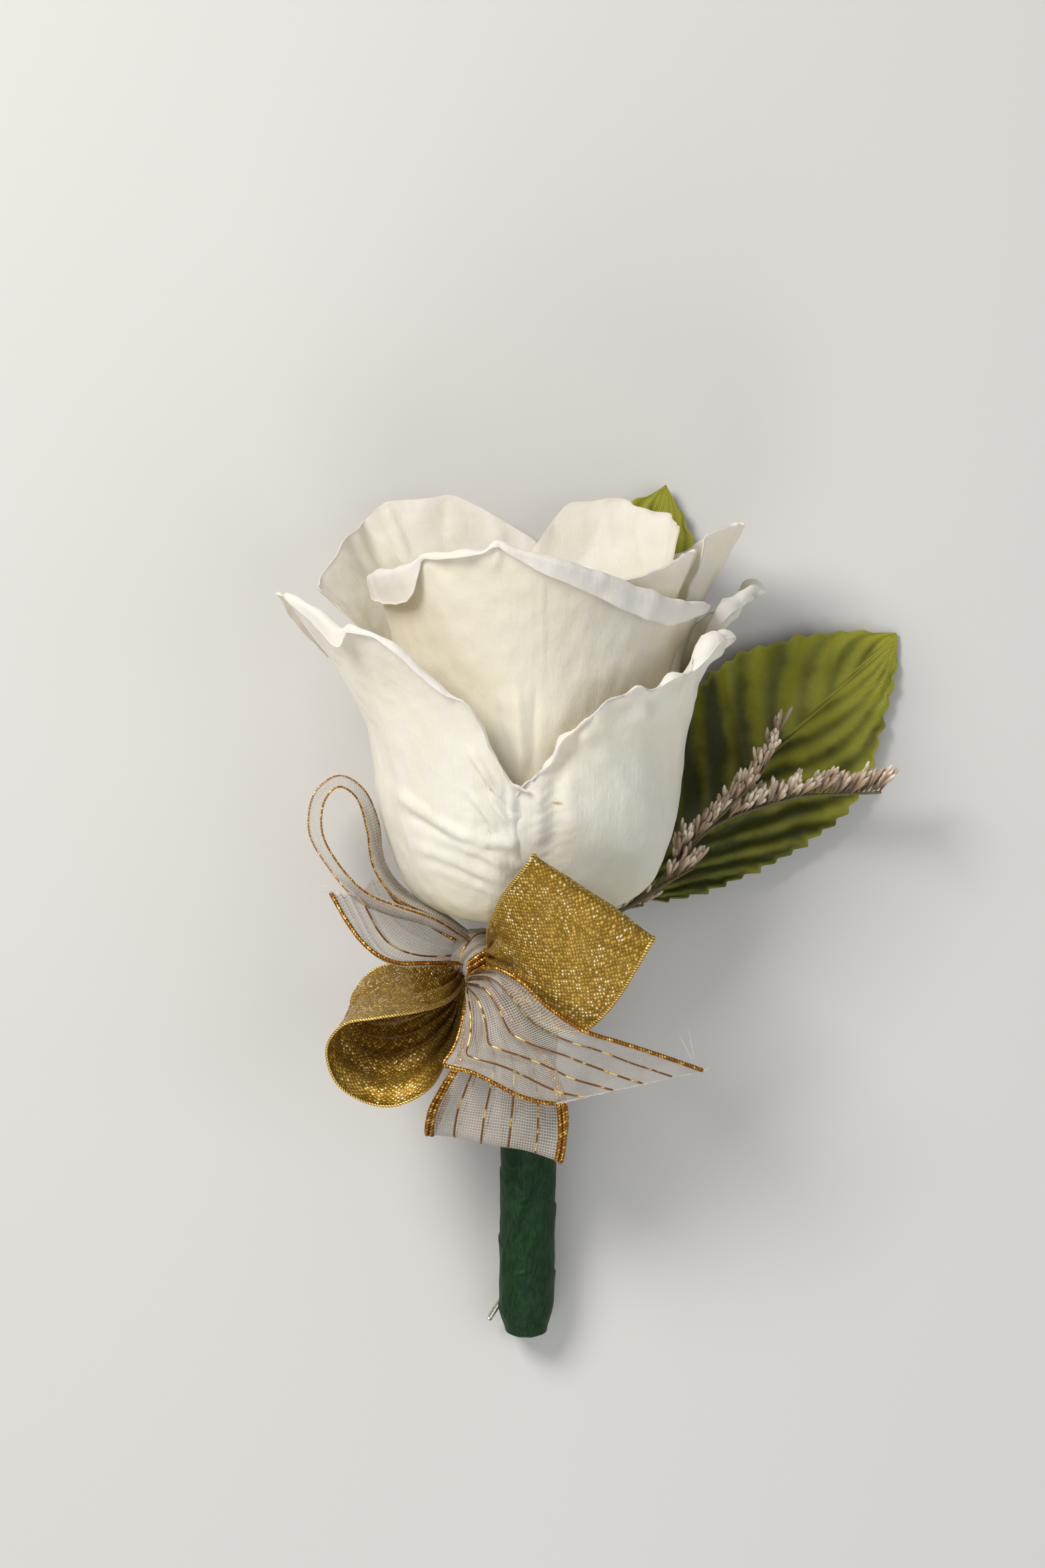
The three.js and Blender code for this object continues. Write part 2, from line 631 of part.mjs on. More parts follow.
const ringOutline = [
  [ringInside, -2.2], [ringOutside, -1.8], [ringOutside + 0.3, 0],
  [ringOutside, 1.8], [ringInside, 2.2], [ringInside, -2.2],
].map(([radius, height]) => [radius, bowHeight + height]);

function sheerRibbon() {
  const tunnel = bowBlock(gatherCentre, { out: 1.45, up: 2.45, round: 6 });
  const knot = bowBlob(knotCentre, knotSizes, 12, 8).subtract(tunnel);
  const ring = turned(ringOutline, 16).transform(stemFrame.toArray());
  const runs = [
    ribbonRun(sheerUpperLoop, 26, 2),
    ribbonRun(sheerLeftTail, 9, 6, cupped(-5)),
    ribbonRun(sheerRightTail, 18, 4, bowed(-0.6)),
    ribbonRun(sheerLowerLoop, 20, 4, bowed(0.5)),
  ];
  return largest(joined([ring, knot, ...runs]));
}

const finish = (color, roughness, metalness = 0) =>
  new THREE.MeshStandardMaterial({ color, roughness, metalness });
const petalWhite = finish(0xe9e4d6, 0.6);
const stemGreen = finish(0x5f6b3a, 0.7);
const tapeGreen = finish(0x1f5a34, 0.75);
const leafGreen = finish(0x7d8f1f, 0.5);
const stalkGreen = finish(0x4d6322, 0.6);
const budBeige = finish(0xb7a48c, 0.85);
const wireSteel = finish(0xb9ad93, 0.35, 1);
const goldCloth = finish(0xb8892e, 0.35, 0.8);
const sheerCloth = finish(0xc9bfb2, 0.5);

const group = new THREE.Group();
group.add(
  meshOf("rose_bloom", roseBloom(), petalWhite),
  meshOf("rose_stem", roseStem(), stemGreen),
  meshOf("stem_tape", stemTape(), tapeGreen),
  meshOf("stub_wire", stubWire(), wireSteel),
  meshOf("leaf_right_blade", leafBlade(leaves.right), leafGreen),
  meshOf("leaf_right_stalk", rightStalk(), stalkGreen),
  meshOf("leaf_top_blade", leafBlade(leaves.top), leafGreen),
  meshOf("leaf_top_stalk", topStalk(), stalkGreen),
  meshOf("filler_sprig", fillerSprig(), budBeige),
  meshOf("gold_ribbon", goldRibbon(), goldCloth),
  meshOf("sheer_ribbon", sheerRibbon(), sheerCloth),
);

// The part's origin is the middle of its box, on the table
const box = new THREE.Box3().setFromObject(group);
group.position.set(-(box.min.x + box.max.x) / 2, -(box.min.y + box.max.y) / 2, -box.min.z);

export default group;
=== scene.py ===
import bpy
import numpy as np
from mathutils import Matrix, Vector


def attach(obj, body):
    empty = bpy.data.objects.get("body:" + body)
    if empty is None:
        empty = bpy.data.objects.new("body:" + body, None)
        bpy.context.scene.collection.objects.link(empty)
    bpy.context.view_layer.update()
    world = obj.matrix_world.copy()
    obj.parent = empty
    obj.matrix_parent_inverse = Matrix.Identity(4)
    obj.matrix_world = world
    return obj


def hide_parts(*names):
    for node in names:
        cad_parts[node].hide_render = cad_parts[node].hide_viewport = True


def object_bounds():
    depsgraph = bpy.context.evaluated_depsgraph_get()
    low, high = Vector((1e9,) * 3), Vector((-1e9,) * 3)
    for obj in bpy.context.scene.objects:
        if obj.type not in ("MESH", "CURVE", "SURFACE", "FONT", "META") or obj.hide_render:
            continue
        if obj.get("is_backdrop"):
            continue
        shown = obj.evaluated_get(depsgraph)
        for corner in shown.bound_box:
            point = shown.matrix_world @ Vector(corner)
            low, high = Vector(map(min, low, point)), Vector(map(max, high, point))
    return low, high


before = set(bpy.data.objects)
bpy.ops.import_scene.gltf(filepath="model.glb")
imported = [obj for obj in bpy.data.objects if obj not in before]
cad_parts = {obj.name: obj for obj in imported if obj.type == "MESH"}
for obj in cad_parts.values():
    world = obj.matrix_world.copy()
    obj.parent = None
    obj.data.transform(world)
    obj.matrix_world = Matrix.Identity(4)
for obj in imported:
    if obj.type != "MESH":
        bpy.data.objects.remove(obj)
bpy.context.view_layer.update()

# The studio: a plain pale table, soft light from the upper left, and a camera that looks straight down.
# Sizes are millimetres from the foot of the rose: X across, Y from the stem's end towards the petals' tips,
# Z up from the table. The row's own frame starts in the middle of the part.
foot_in_row = np.array([-9.455, 0.339, 0.0])


def in_row(points):
    """Millimetres from the rose's foot, as metres in the row's frame."""
    return (np.asarray(points, float) + foot_in_row) / 1000


def in_scene(name, data):
    made = bpy.data.objects.new(name, data)
    bpy.context.scene.collection.objects.link(made)
    return made


camera_place = np.array([-1.4, 20.0, 720.0])
camera = in_scene("camera", bpy.data.cameras.new("camera"))
camera.location = in_row(camera_place)
camera.data.sensor_width = 36
camera.data.lens = 103.66
camera.data.clip_start = 0.02
bpy.context.scene.camera = camera
bpy.context.scene.view_settings.view_transform = "Standard"


def soft_light(name, place, target, size, watts, color):
    lamp = bpy.data.lights.new(name, "AREA")
    lamp.size = size / 1000
    lamp.energy = watts
    lamp.color = color
    light = in_scene(name, lamp)
    light.location = in_row(place)
    aim = in_row(target) - in_row(place)
    light.rotation_mode = "QUATERNION"
    light.rotation_quaternion = Vector(aim).to_track_quat("-Z", "Y")


soft_light("key", (-330, 330, 470), (0, 10, 20), size=260, watts=3.6, color=(1.0, 0.97, 0.92))
soft_light("fill", (420, -120, 520), (0, 10, 20), size=500, watts=1.1, color=(0.94, 0.97, 1.0))
soft_light("front", (-120, -420, 380), (0, 0, 20), size=320, watts=0.9, color=(1.0, 0.98, 0.95))

surround = bpy.data.worlds.new("surround")
surround.use_nodes = True
surround_sockets = surround.node_tree.nodes["Background"].inputs
surround_sockets["Color"].default_value = (0.95, 0.97, 1.0, 1.0)
surround_sockets["Strength"].default_value = 0.3
bpy.context.scene.world = surround

table_half = 1.5
table_corners = [(x * table_half, y * table_half, 0) for x, y in ((-1, -1), (1, -1), (1, 1), (-1, 1))]
table_mesh = bpy.data.meshes.new("table")
table_mesh.from_pydata(table_corners, [], [(0, 1, 2, 3)])
table = in_scene("table", table_mesh)
table_paint = bpy.data.materials.new("table_paint")
table_paint.use_nodes = True
table_sockets = table_paint.node_tree.nodes["Principled BSDF"].inputs
table_sockets["Base Color"].default_value = (0.62, 0.61, 0.59, 1.0)
table_sockets["Roughness"].default_value = 0.85
table_mesh.materials.append(table_paint)
table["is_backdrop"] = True


# The rose's own stem: green and woody, cut off short inside the tape, swelling at its top into the pale hip
# that carries the petals. It is turned round the stem's axis, whose lower end runs down to the table.
class Tone:
    """What one of a finish's nodes gives out. Sums with it are worked out by Math nodes."""

    def __init__(self, finish, socket):
        self.finish = finish
        self.socket = socket

    def math(self, operation, *values):
        return self.finish.node("ShaderNodeMath", {"operation": operation}, dict(enumerate(values)))

    def __add__(self, other):
        return self.math("ADD", self, other)

    def __radd__(self, other):
        return self.math("ADD", other, self)

    def __sub__(self, other):
        return self.math("SUBTRACT", self, other)

    def __rsub__(self, other):
        return self.math("SUBTRACT", other, self)

    def __mul__(self, other):
        return self.math("MULTIPLY", self, other)

    def __rmul__(self, other):
        return self.math("MULTIPLY", other, self)

    def __pow__(self, other):
        return self.math("POWER", self, other)

    def ripple(self):
        """A wave between 0 and 1."""
        return self.math("SINE", self) * 0.5 + 0.5

    def most(self, other):
        return self.math("MAXIMUM", self, other)

    def between(self, low, high):
        """0 below low, 1 above high, and a smooth step between them."""
        sockets = {"Value": self, "From Min": low, "From Max": high}
        return self.finish.node("ShaderNodeMapRange", {"interpolation_type": "SMOOTHSTEP"}, sockets)

    def part(self, axis):
        """The X, Y or Z of a place."""
        return self.finish.node("ShaderNodeSeparateXYZ", {}, {"Vector": self}, axis)


class Finish:
    """The material of one kind of surface."""

    def __init__(self, name, **shader):
        self.material = bpy.data.materials.new(name)
        self.material.use_nodes = True
        self.tree = self.material.node_tree
        self.shader = self.tree.nodes["Principled BSDF"]
        self.set(**shader)

    def set(self, **shader):
        for name, value in shader.items():
            self.fill(self.shader.inputs[name.replace("_", " ").title().replace("Ior", "IOR")], value)

    def fill(self, socket, value):
        if isinstance(value, Tone):
            self.tree.links.new(value.socket, socket)
        elif isinstance(value, tuple) and len(value) == 3 and socket.type == "RGBA":
            socket.default_value = (*value, 1.0)
        else:
            socket.default_value = value

    def node(self, kind, settings, sockets, output=0):
        made = self.tree.nodes.new(kind)
        for name, value in settings.items():
            setattr(made, name, value)
        for name, value in sockets.items():
            self.fill(made.inputs[name], value)
        return Tone(self, made.outputs[output])

    def place(self):
        """Where a point of the piece is, in metres."""
        return self.node("ShaderNodeTexCoord", {}, {}, "Object")

    def cloth(self):
        """Where a point of the piece lies in its flat cut, in millimetres."""
        return self.node("ShaderNodeAttribute", {"attribute_name": "flat"}, {}, "Vector")

    def vector(self, operation, *values, output=0):
        """Vector maths on places and colours."""
        return self.node("ShaderNodeVectorMath", {"operation": operation}, dict(enumerate(values)), output)

    def noise(self, place, scale, detail=2.0, rough=0.5):
        """Soft mottle. A scale of three numbers stretches it along X, Y and Z."""
        if isinstance(scale, tuple):
            place, scale = self.vector("MULTIPLY", place, scale), 1.0
        sockets = {"Vector": place, "Scale": scale, "Detail": detail, "Roughness": rough}
        return self.node("ShaderNodeTexNoise", {}, sockets, "Fac")

    def mix(self, factor, first, second):
        return self.node("ShaderNodeMix", {"data_type": "RGBA"}, {0: factor, 6: first, 7: second}, 2)

    def bump(self, height, depth):
        """Relief whose height of 1 stands depth millimetres proud."""
        sockets = {"Height": height, "Distance": depth / 1000, "Strength": 1.0}
        return self.node("ShaderNodeBump", {}, sockets, "Normal")


def smooth(low, high, x):
    """0 below low, 1 above high, and a smooth step between them."""
    t = np.clip((np.asarray(x, float) - low) / (high - low), 0, 1)
    return t * t * (3 - 2 * t)


def foot_frame(tilt, turn):
    """The turning about the rose's foot of a frame with Y along the stem and Z towards the viewer."""
    a, b = np.radians(tilt), np.radians(turn)
    tilting = np.array([[1, 0, 0], [0, np.cos(a), -np.sin(a)], [0, np.sin(a), np.cos(a)]])
    turning = np.array([[np.cos(b), -np.sin(b), 0], [np.sin(b), np.cos(b), 0], [0, 0, 1]])
    return tilting @ turning


rose_foot = np.array([0, 0, 18.3])
stem_length = 69
tape_end_radius = 3.5
stem_tilt = np.degrees(np.arcsin((rose_foot[2] - tape_end_radius) / stem_length))
stem_turn = -0.7
stem_axes = foot_frame(stem_tilt, stem_turn)


def along_stem(points):
    """Places in the stem's own frame, as places from the table."""
    return np.asarray(points, float) @ stem_axes.T + rose_foot


def all_round(count):
    """Angles at even steps once round."""
    return np.linspace(0, 2 * np.pi, count, endpoint=False)


def as_places(*parts):
    """Places from their coordinates, each a number or a grid of them."""
    return np.stack(np.broadcast_arrays(*parts), axis=-1)


def about_stem(angle, radius, height):
    """Places round the stem's axis. Angle 0 is the front of it and a quarter turn its right."""
    return as_places(radius * np.sin(angle), height, radius * np.cos(angle))


def grid_faces(rows, columns, closed=False):
    """Four-sided faces between rows of points. In a closed grid, each row's last point meets its first."""
    corner = np.arange(rows * columns).reshape(rows, columns)
    beside = np.roll(corner, -1, axis=1) if closed else corner[:, 1:]
    corner = corner if closed else corner[:, :-1]
    return np.stack([corner[:-1], beside[:-1], beside[1:], corner[1:]], axis=-1).reshape(-1, 4).tolist()


def tube_faces(rings, around):
    """The faces of a tube of rings of points, closed at both ends."""
    last = (rings - 1) * around
    ends = [list(range(around)), list(range(last, last + around))[::-1]]
    return grid_faces(rings, around, True) + ends


def joined(parts):
    """The points and faces of several meshes as one."""
    points, faces, count = [], [], 0
    for part_points, part_faces in parts:
        part_points = np.asarray(part_points, float).reshape(-1, 3)
        points.append(part_points)
        faces += [[count + i for i in face] for face in part_faces]
        count += len(part_points)
    return np.concatenate(points), faces


def new_piece(name, parts, finish, node, flats=()):
    """A smooth mesh of its parts, in a solid's place. flats are its points as they lie in the flat cut."""
    points, faces = joined(parts)
    places = in_row(points)
    mesh = bpy.data.meshes.new(name)
    mesh.from_pydata(places.tolist(), [], faces)
    mesh.polygons.foreach_set("use_smooth", [True] * len(mesh.polygons))
    mesh.materials.append(finish.material)
    mesh.calc_loop_triangles()
    corners = np.array([triangle.vertices[:] for triangle in mesh.loop_triangles])
    a, b, c = (places[corners[:, i]] for i in range(3))
    if (a * np.cross(b, c)).sum() < 0:
        mesh.flip_normals()
    if len(flats):
        attribute = mesh.attributes.new("flat", "FLOAT_VECTOR", "POINT")
        attribute.data.foreach_set("vector", np.concatenate(flats).astype(np.float32).ravel())
    piece = in_scene(name, mesh)
    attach(piece, "root")
    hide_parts(node)
    return piece


def turned(outline, around, relief):
    """A turned solid about the stem's axis from pairs of radius and height. relief changes its radius."""
    outline = np.array(outline, float)
    angle, radius, height = np.broadcast_arrays(all_round(around), outline[:, :1], outline[:, 1:])
    rings = about_stem(angle, radius + relief(angle, height), height)
    return rings.reshape(-1, 3), tube_faces(len(outline), around)


stem_outline = [
    (0.6, -66.8), (1.9, -66.8), (2.2, -66.5), (2.2, -50), (2.2, -30), (2.2, -10), (2.2, -4), (2.3, -3.2),
    (2.7, -2.5), (3.5, -1.9), (4.2, -1.5), (4.4, -1.2), (4.3, -0.95), (3.9, -0.65), (1.2, -0.6),
]
stem_around = 48


def stem_ribs(angle, height):
    return 0.12 * np.cos(5 * angle + 0.4) * smooth(-4, -1.4, height) + 0.05 * np.cos(9 * angle + height)


stem_flesh = Finish("stem_flesh", roughness=0.55, subsurface_weight=0.08, subsurface_scale=0.001)
stem_place = stem_flesh.place()
stem_fibre = stem_flesh.noise(stem_place, (900, 120, 900), 3.0)
stem_pale = stem_place.part("Y").between(-0.0035, -0.0005)
stem_green = stem_flesh.mix(stem_fibre, (0.10, 0.15, 0.035), (0.22, 0.26, 0.09))
stem_flesh.set(
    base_color=stem_flesh.mix(stem_pale, stem_green, (0.52, 0.38, 0.22)),
    normal=stem_flesh.bump(stem_fibre, 0.12),
)
stem_points, stem_faces = turned(stem_outline, stem_around, stem_ribs)
stem_part = (along_stem(stem_points), stem_faces)
new_piece("rose_stem_and_hip", [stem_part], stem_flesh, "rose_stem")


# Floral tape: waxed dark green crepe paper, stretched and wound up the stem in a slanting band whose laps
# stand out as low steps. Its lower end is pinched over the stem's cut end, and it ends open under the hip.
tape_pitch = 11
tape_radius = 4.6
lap_rise = 0.28
tape_bore = 3.95
stem_mouth = -3.8
fold_depth = 1.6
tape_folds = [
    ((0.5, -41.3), (-5.0, -57.8), 0.75, 0.34), ((2.4, -41.0), (-3.0, -57.6), 1.1, -0.26),
    ((-3.2, -46.9), (0.4, -44.4), 0.28, 0.22), ((-5.4, -58.6), (0.3, -56.9), 0.3, 0.26),
    ((-3.1, -40.3), (-0.9, -39.6), 0.25, 0.16), ((1.2, -50.8), (-0.2, -54.4), 0.8, 0.24),
    ((-4.8, -61.0), (-3.6, -66.0), 0.9, 0.2), ((0.2, -58.6), (2.6, -62.5), 1.0, -0.18),
]


def beside_line(places, start, end):
    """How far along a straight line each place is, as a share of it, and how far off the line."""
    line = np.subtract(end, start)
    share = np.clip(((places - start) @ line) / (line @ line), 0, 1)
    return share, np.linalg.norm(places - start - share[..., None] * line, axis=-1)


def tape_outside(angle, height):
    """The tape's radius. tape_folds are creases on its front, as ends laid out flat, width and height."""
    turns = height / tape_pitch + angle / (2 * np.pi)
    lap = turns - np.floor(turns)
    step = lap_rise * lap**2 * (1 - smooth(0.94, 1, lap))
    stretched = 0.07 * np.sin(3 * angle + height * 0.5) + 0.03 * np.sin(5 * angle - height * 0.9)
    creases = 0.012 * np.sin(9 * angle + 2.1 * height + 2 * np.sin(0.35 * height))
    creases += 0.01 * np.sin(17 * angle - 1.3 * height + 1.5 * np.sin(0.8 * height + angle))
    laid_out = tape_radius * (np.mod(angle + np.pi, 2 * np.pi) - np.pi)
    spot = as_places(laid_out, height)
    for start, end, width, rise in tape_folds:
        t, off = beside_line(spot, start, end)
        ridge = fold_depth * rise * np.exp(-((off / width) ** 2))
        creases = creases + ridge * np.sin(np.pi * (0.15 + 0.7 * t))
    pinched = (tape_radius - tape_end_radius) * smooth(stem_length - 6, stem_length, -height)
    return tape_radius - 0.3 + step + stretched + creases - pinched


tape_rows, tape_around = 300, 96
tape_end_rise = 0.9
tape_inside = [
    (tape_bore + 0.28, stem_mouth + 0.05), (tape_bore, stem_mouth), (tape_bore, -8), (tape_bore, -60),
    (tape_bore - 0.8, -66), (tape_bore - 1.2, -67.6), (0.5, -67.7),
]
tape_angle = all_round(tape_around)
tape_rings = []
for inward in np.linspace(0.12, 1, 9)[:-1]:
    end_radius = inward * tape_outside(tape_angle, -stem_length)
    end_folds = 0.16 * np.sin(7 * tape_angle + 3 * inward) * inward * (1 - inward)
    end_height = -stem_length + tape_end_rise * inward**3 + end_folds
    tape_rings.append(about_stem(tape_angle, end_radius, end_height))
for height in np.linspace(-stem_length + tape_end_rise, stem_mouth, tape_rows):
    tape_rings.append(about_stem(tape_angle, tape_outside(tape_angle, height), height))
for radius, height in tape_inside:
    tape_rings.append(about_stem(tape_angle, radius, height))
crepe = Finish("crepe_tape", roughness=0.42, specular_ior_level=0.2)
crepe_place = crepe.place()
crepe_grain = crepe.noise(crepe_place, (2600, 420, 2600), 3.0, 0.6)
crepe_wear = crepe.noise(crepe_place, 320, 3.0)
crepe_light = crepe.mix(crepe_grain.between(0.35, 0.7), (0.004, 0.020, 0.005), (0.010, 0.044, 0.011))
crepe.set(
    base_color=crepe.mix(crepe_wear.between(0.52, 0.75) * 0.5, crepe_light, (0.018, 0.064, 0.019)),
    roughness=0.42 + 0.25 * crepe_wear,
    normal=crepe.bump(crepe_grain, 0.1),
)
tape_part = (along_stem(np.concatenate(tape_rings)), tube_faces(len(tape_rings), tape_around))
new_piece("stem_tape_wound", [tape_part], crepe, "stem_tape")


# Stub wire: plain steel florist's wire laid along the stem under the tape. Its cut end pokes out through
# the tape at the lower left.
def by_stem(distance, angle, height):
    """A place beside the stem. Angle 0 is the front of it and 90 its right."""
    return along_stem(about_stem(np.radians(angle), distance, height))


def step_lengths(line):
    return np.linalg.norm(np.diff(line, axis=0), axis=1)


def so_far(steps):
    """How far along a line each of its places is, from the steps between them."""
    return np.concatenate([np.zeros_like(steps[:1]), np.cumsum(steps, axis=0)])


path_steps = 48


def path_through(points, count):
    """A smooth line through places, as count + 1 places at even distances."""
    points = np.array(points, float)
    ends = np.concatenate([[2 * points[0] - points[1]], points, [2 * points[-1] - points[-2]]])
    reach = np.maximum(np.sum(np.diff(ends, axis=0) ** 2, axis=1) ** 0.25, 1e-4)
    pieces = []
    t = np.linspace(0, 1, path_steps, endpoint=False)[:, None]
    for i in range(len(points) - 1):
        a, b, c, d = ends[i : i + 4]
        before, here, after = reach[i : i + 3]
        leave = ((b - a) / before - (c - a) / (before + here) + (c - b) / here) * here
        arrive = ((c - b) / here - (d - b) / (here + after) + (d - c) / after) * here
        squared = 3 * (c - b) - 2 * leave - arrive
        cubed = 2 * (b - c) + leave + arrive
        pieces.append(b + leave * t + squared * t**2 + cubed * t**3)
    line = np.concatenate([*pieces, points[-1:]])
    length = so_far(step_lengths(line))
    even = np.linspace(0, length[-1], count + 1)
    return np.stack([np.interp(even, length, column) for column in line.T], axis=1)


def unit(vectors):
    return vectors / np.maximum(np.linalg.norm(vectors, axis=-1, keepdims=True), 1e-12)


def rod(path, radius, sides):
    """A round rod along a line, closed at its ends. radius may differ along it and round it."""
    heading = unit(np.gradient(path, axis=0))
    side = np.empty_like(path)
    start = np.cross(heading[0], [0.3, 0.2, 0.93])
    for i, ahead in enumerate(heading):
        start = unit(start - ahead * (start @ ahead))
        side[i] = start
    other = np.cross(heading, side)
    angle = all_round(sides)
    radius = np.asarray(radius, float)
    radius = np.broadcast_to(radius[:, None] if radius.ndim == 1 else radius, (len(path), sides))
    around = side[:, None] * np.cos(angle)[:, None] + other[:, None] * np.sin(angle)[:, None]
    rings = path[:, None] + radius[..., None] * around
    return rings.reshape(-1, 3), tube_faces(len(path), sides)


bundle_radius = 3.1
wire_radius = 0.45
wire_cut_radius = 0.36
wire_angle = -95
wire_sides = 16
wire_end = along_stem([-5.9, -66.6, -0.3])
wire_seats = [by_stem(bundle_radius, wire_angle, height) for height in (-8, -32, -56, -61)]
wire_path = path_through([*wire_seats, wire_end], 90)
wire_round = np.full(len(wire_path), wire_radius)
wire_round[-1] = wire_cut_radius
steel = Finish("stub_wire_steel", metallic=1.0, roughness=0.34)
steel_place = steel.place()
steel_rust = steel.noise(steel_place, 1400, 4.0).between(0.5, 0.72)
steel.set(
    base_color=steel.mix(steel_rust, (0.60, 0.56, 0.48), (0.30, 0.21, 0.12)),
    roughness=0.28 + 0.35 * steel_rust,
    normal=steel.bump(steel.noise(steel_place, (900, 9000, 900)), 0.03),
)
new_piece("stub_wire_cut", [rod(wire_path, wire_round, wire_sides)], steel, "stub_wire")


# Two satin leaves behind the rose: olive woven satin, cut with pinked edges and pressed with side veins.
# The top one lies flat on the table under the bloom and only its tip curls up. Each has a moulded green
# midrib under it, whose stalk goes down into the tape.
hidden_half = [
    (0, 0), (0.06, 3), (0.135, 5.8), (0.237, 8.4), (0.335, 10.4), (0.448, 12), (0.56, 12.6), (0.63, 12.3),
    (0.717, 10.8),
]
# left and right are half-widths by the share of the length. relief and tip_relief are the pleats' depths.
leaf_cuts = {
    "right": {
        "base": [14.4, 1.8, 4.9],
        "tip": [58.2, 44.1, 0.7],
        "left": [
            (0, 0), (0.06, 3.9), (0.135, 7.3), (0.237, 10.8), (0.335, 13.2), (0.448, 14.9), (0.56, 15.5),
            (0.63, 15.1), (0.67, 14.5), (0.71, 13.3), (0.78, 10.9), (0.83, 9.0), (0.887, 6.3), (0.922, 4.5),
            (0.96, 2.3), (1, 0),
        ],
        "right": [
            (0, 0), (0.06, 3.6), (0.135, 6.9), (0.237, 9.7), (0.335, 11.8), (0.448, 13.6), (0.56, 14.4),
            (0.63, 14.1), (0.71, 12.2), (0.76, 10.2), (0.804, 8.5), (0.838, 7.3), (0.869, 6.2),
            (0.925, 4.0), (0.978, 1.4), (1, 0),
        ],
        "arch": 0.6, "relief": 1.05, "tip_relief": 0.0, "curl": 0.0,
    },
    "top": {
        "base": [1.6, 9.9, 0.3],
        "tip": [21.4, 67.6, 0.3],
        "left": [*hidden_half, (0.82, 8), (0.9, 5.3), (0.933, 3.6), (0.969, 1.4), (1, 0)],
        "right": [*hidden_half, (0.82, 8.3), (0.872, 7), (0.918, 4.9), (0.96, 2.5), (1, 0)],
        "arch": 0.0, "relief": 0.0, "tip_relief": 0.35, "curl": 1.8,
    },
}
leaf_teeth = 22
leaf_tooth_depth = 1.0
tooth_slope = 0.75
veins_left, lean_left = 9.5, 0.22
veins_right, lean_right = 7.0, 0.55
right_vein_start = 0.4
pleat_depth, vein_height = 0.62, 0.12
leaf_length = 60
leaf_thickness = 0.3
rows_a_tooth = 8
leaf_columns = 49
midrib_radius = 0.45
midrib_below = 1.25
midrib_sides = 14


def soft_noise(places, size, seed):
    """Gentle seeded waves of about that size, between -1 and 1."""
    draw = np.random.default_rng(seed)
    total = np.zeros(np.shape(places)[:-1])
    for _ in range(7):
        heading = unit(draw.normal(size=3)) * 2 * np.pi / (size * draw.uniform(0.7, 1.5))
        total += np.sin(np.asarray(places) @ heading + draw.uniform(0, 2 * np.pi))
    return total / 4


def read_off(pairs, at):
    """The second numbers of some pairs, read off between them at the first."""
    return np.interp(at, *np.array(pairs, float).T)


def leaf_places(leaf, along, side):
    """Places on a leaf's middle, by the share of its length and the share of its half-width."""
    base, tip = np.array(leaf["base"], float), np.array(leaf["tip"], float)
    axis = tip - base
    across = unit(np.cross(axis, [0, 0, 1]))
    left, right = (read_off(path_through(leaf[half], 300), along) for half in ("left", "right"))
    number = np.floor(along * leaf_teeth)
    tooth = along * leaf_teeth - number
    notch = np.where(tooth < tooth_slope, tooth / tooth_slope, (1 - tooth) / (1 - tooth_slope))
    notch = leaf_tooth_depth * notch * smooth(0.02, 0.1, along)
    notch = notch * (0.8 + 0.25 * np.sin(number * 2.3)) * (1 - smooth(0.9, 1, along))
    offset = side * np.where(side < 0, left, right) + np.sign(side) * np.abs(side) ** 9 * notch
    left_vein = (along - lean_left * np.abs(side)) * veins_left
    right_vein = (along - lean_right * np.abs(side)) * veins_right + right_vein_start
    vein = np.where(side < 0, left_vein, right_vein)
    vein = vein + 0.12 * np.sin(along * 23) + 0.1 * np.sin(along * 41 + 6 * side)
    pleat = 0.5 + 0.5 * np.cos(2 * np.pi * vein)
    ridge = np.exp(-(((vein - np.floor(vein) - 0.5) / 0.06) ** 2))
    wave = soft_noise(as_places(offset, along * leaf_length, 0.0), 14, 5)
    relief = (pleat_depth * pleat + vein_height * ridge + 0.25 * (1 + wave)) * smooth(0, 0.3, np.abs(side))
    relief = relief * smooth(0.5, 7.0, np.where(side < 0, left, right))
    depth = leaf["relief"] + leaf["tip_relief"] * smooth(0.66, 0.8, along)
    rise = leaf["arch"] * np.sin(np.pi * along) + depth * relief + leaf["curl"] * smooth(0.6, 1, along)
    places = base + along[..., None] * axis + offset[..., None] * across
    places[..., 2] += rise
    return places, offset


def thick_sheet(middle, thickness):
    """Both faces and the rim of a sheet whose middle is a grid of places. thickness may differ over it."""
    rows, columns = middle.shape[:2]
    normal = unit(np.cross(np.gradient(middle, axis=0), np.gradient(middle, axis=1)))
    half = np.broadcast_to(thickness, (rows, columns))[..., None] / 2
    points = np.concatenate([middle + normal * half, middle - normal * half]).reshape(-1, 3)
    front = grid_faces(rows, columns)
    count = rows * columns
    back = [[count + i for i in face[::-1]] for face in front]
    order = np.arange(count).reshape(rows, columns)
    rim = np.concatenate([order[:-1, 0], order[-1, :-1], order[:0:-1, -1], order[0, :0:-1]])
    beside = np.roll(rim, -1)
    edge = np.stack([beside, rim, rim + count, beside + count], axis=1).tolist()
    return points, front + back + edge


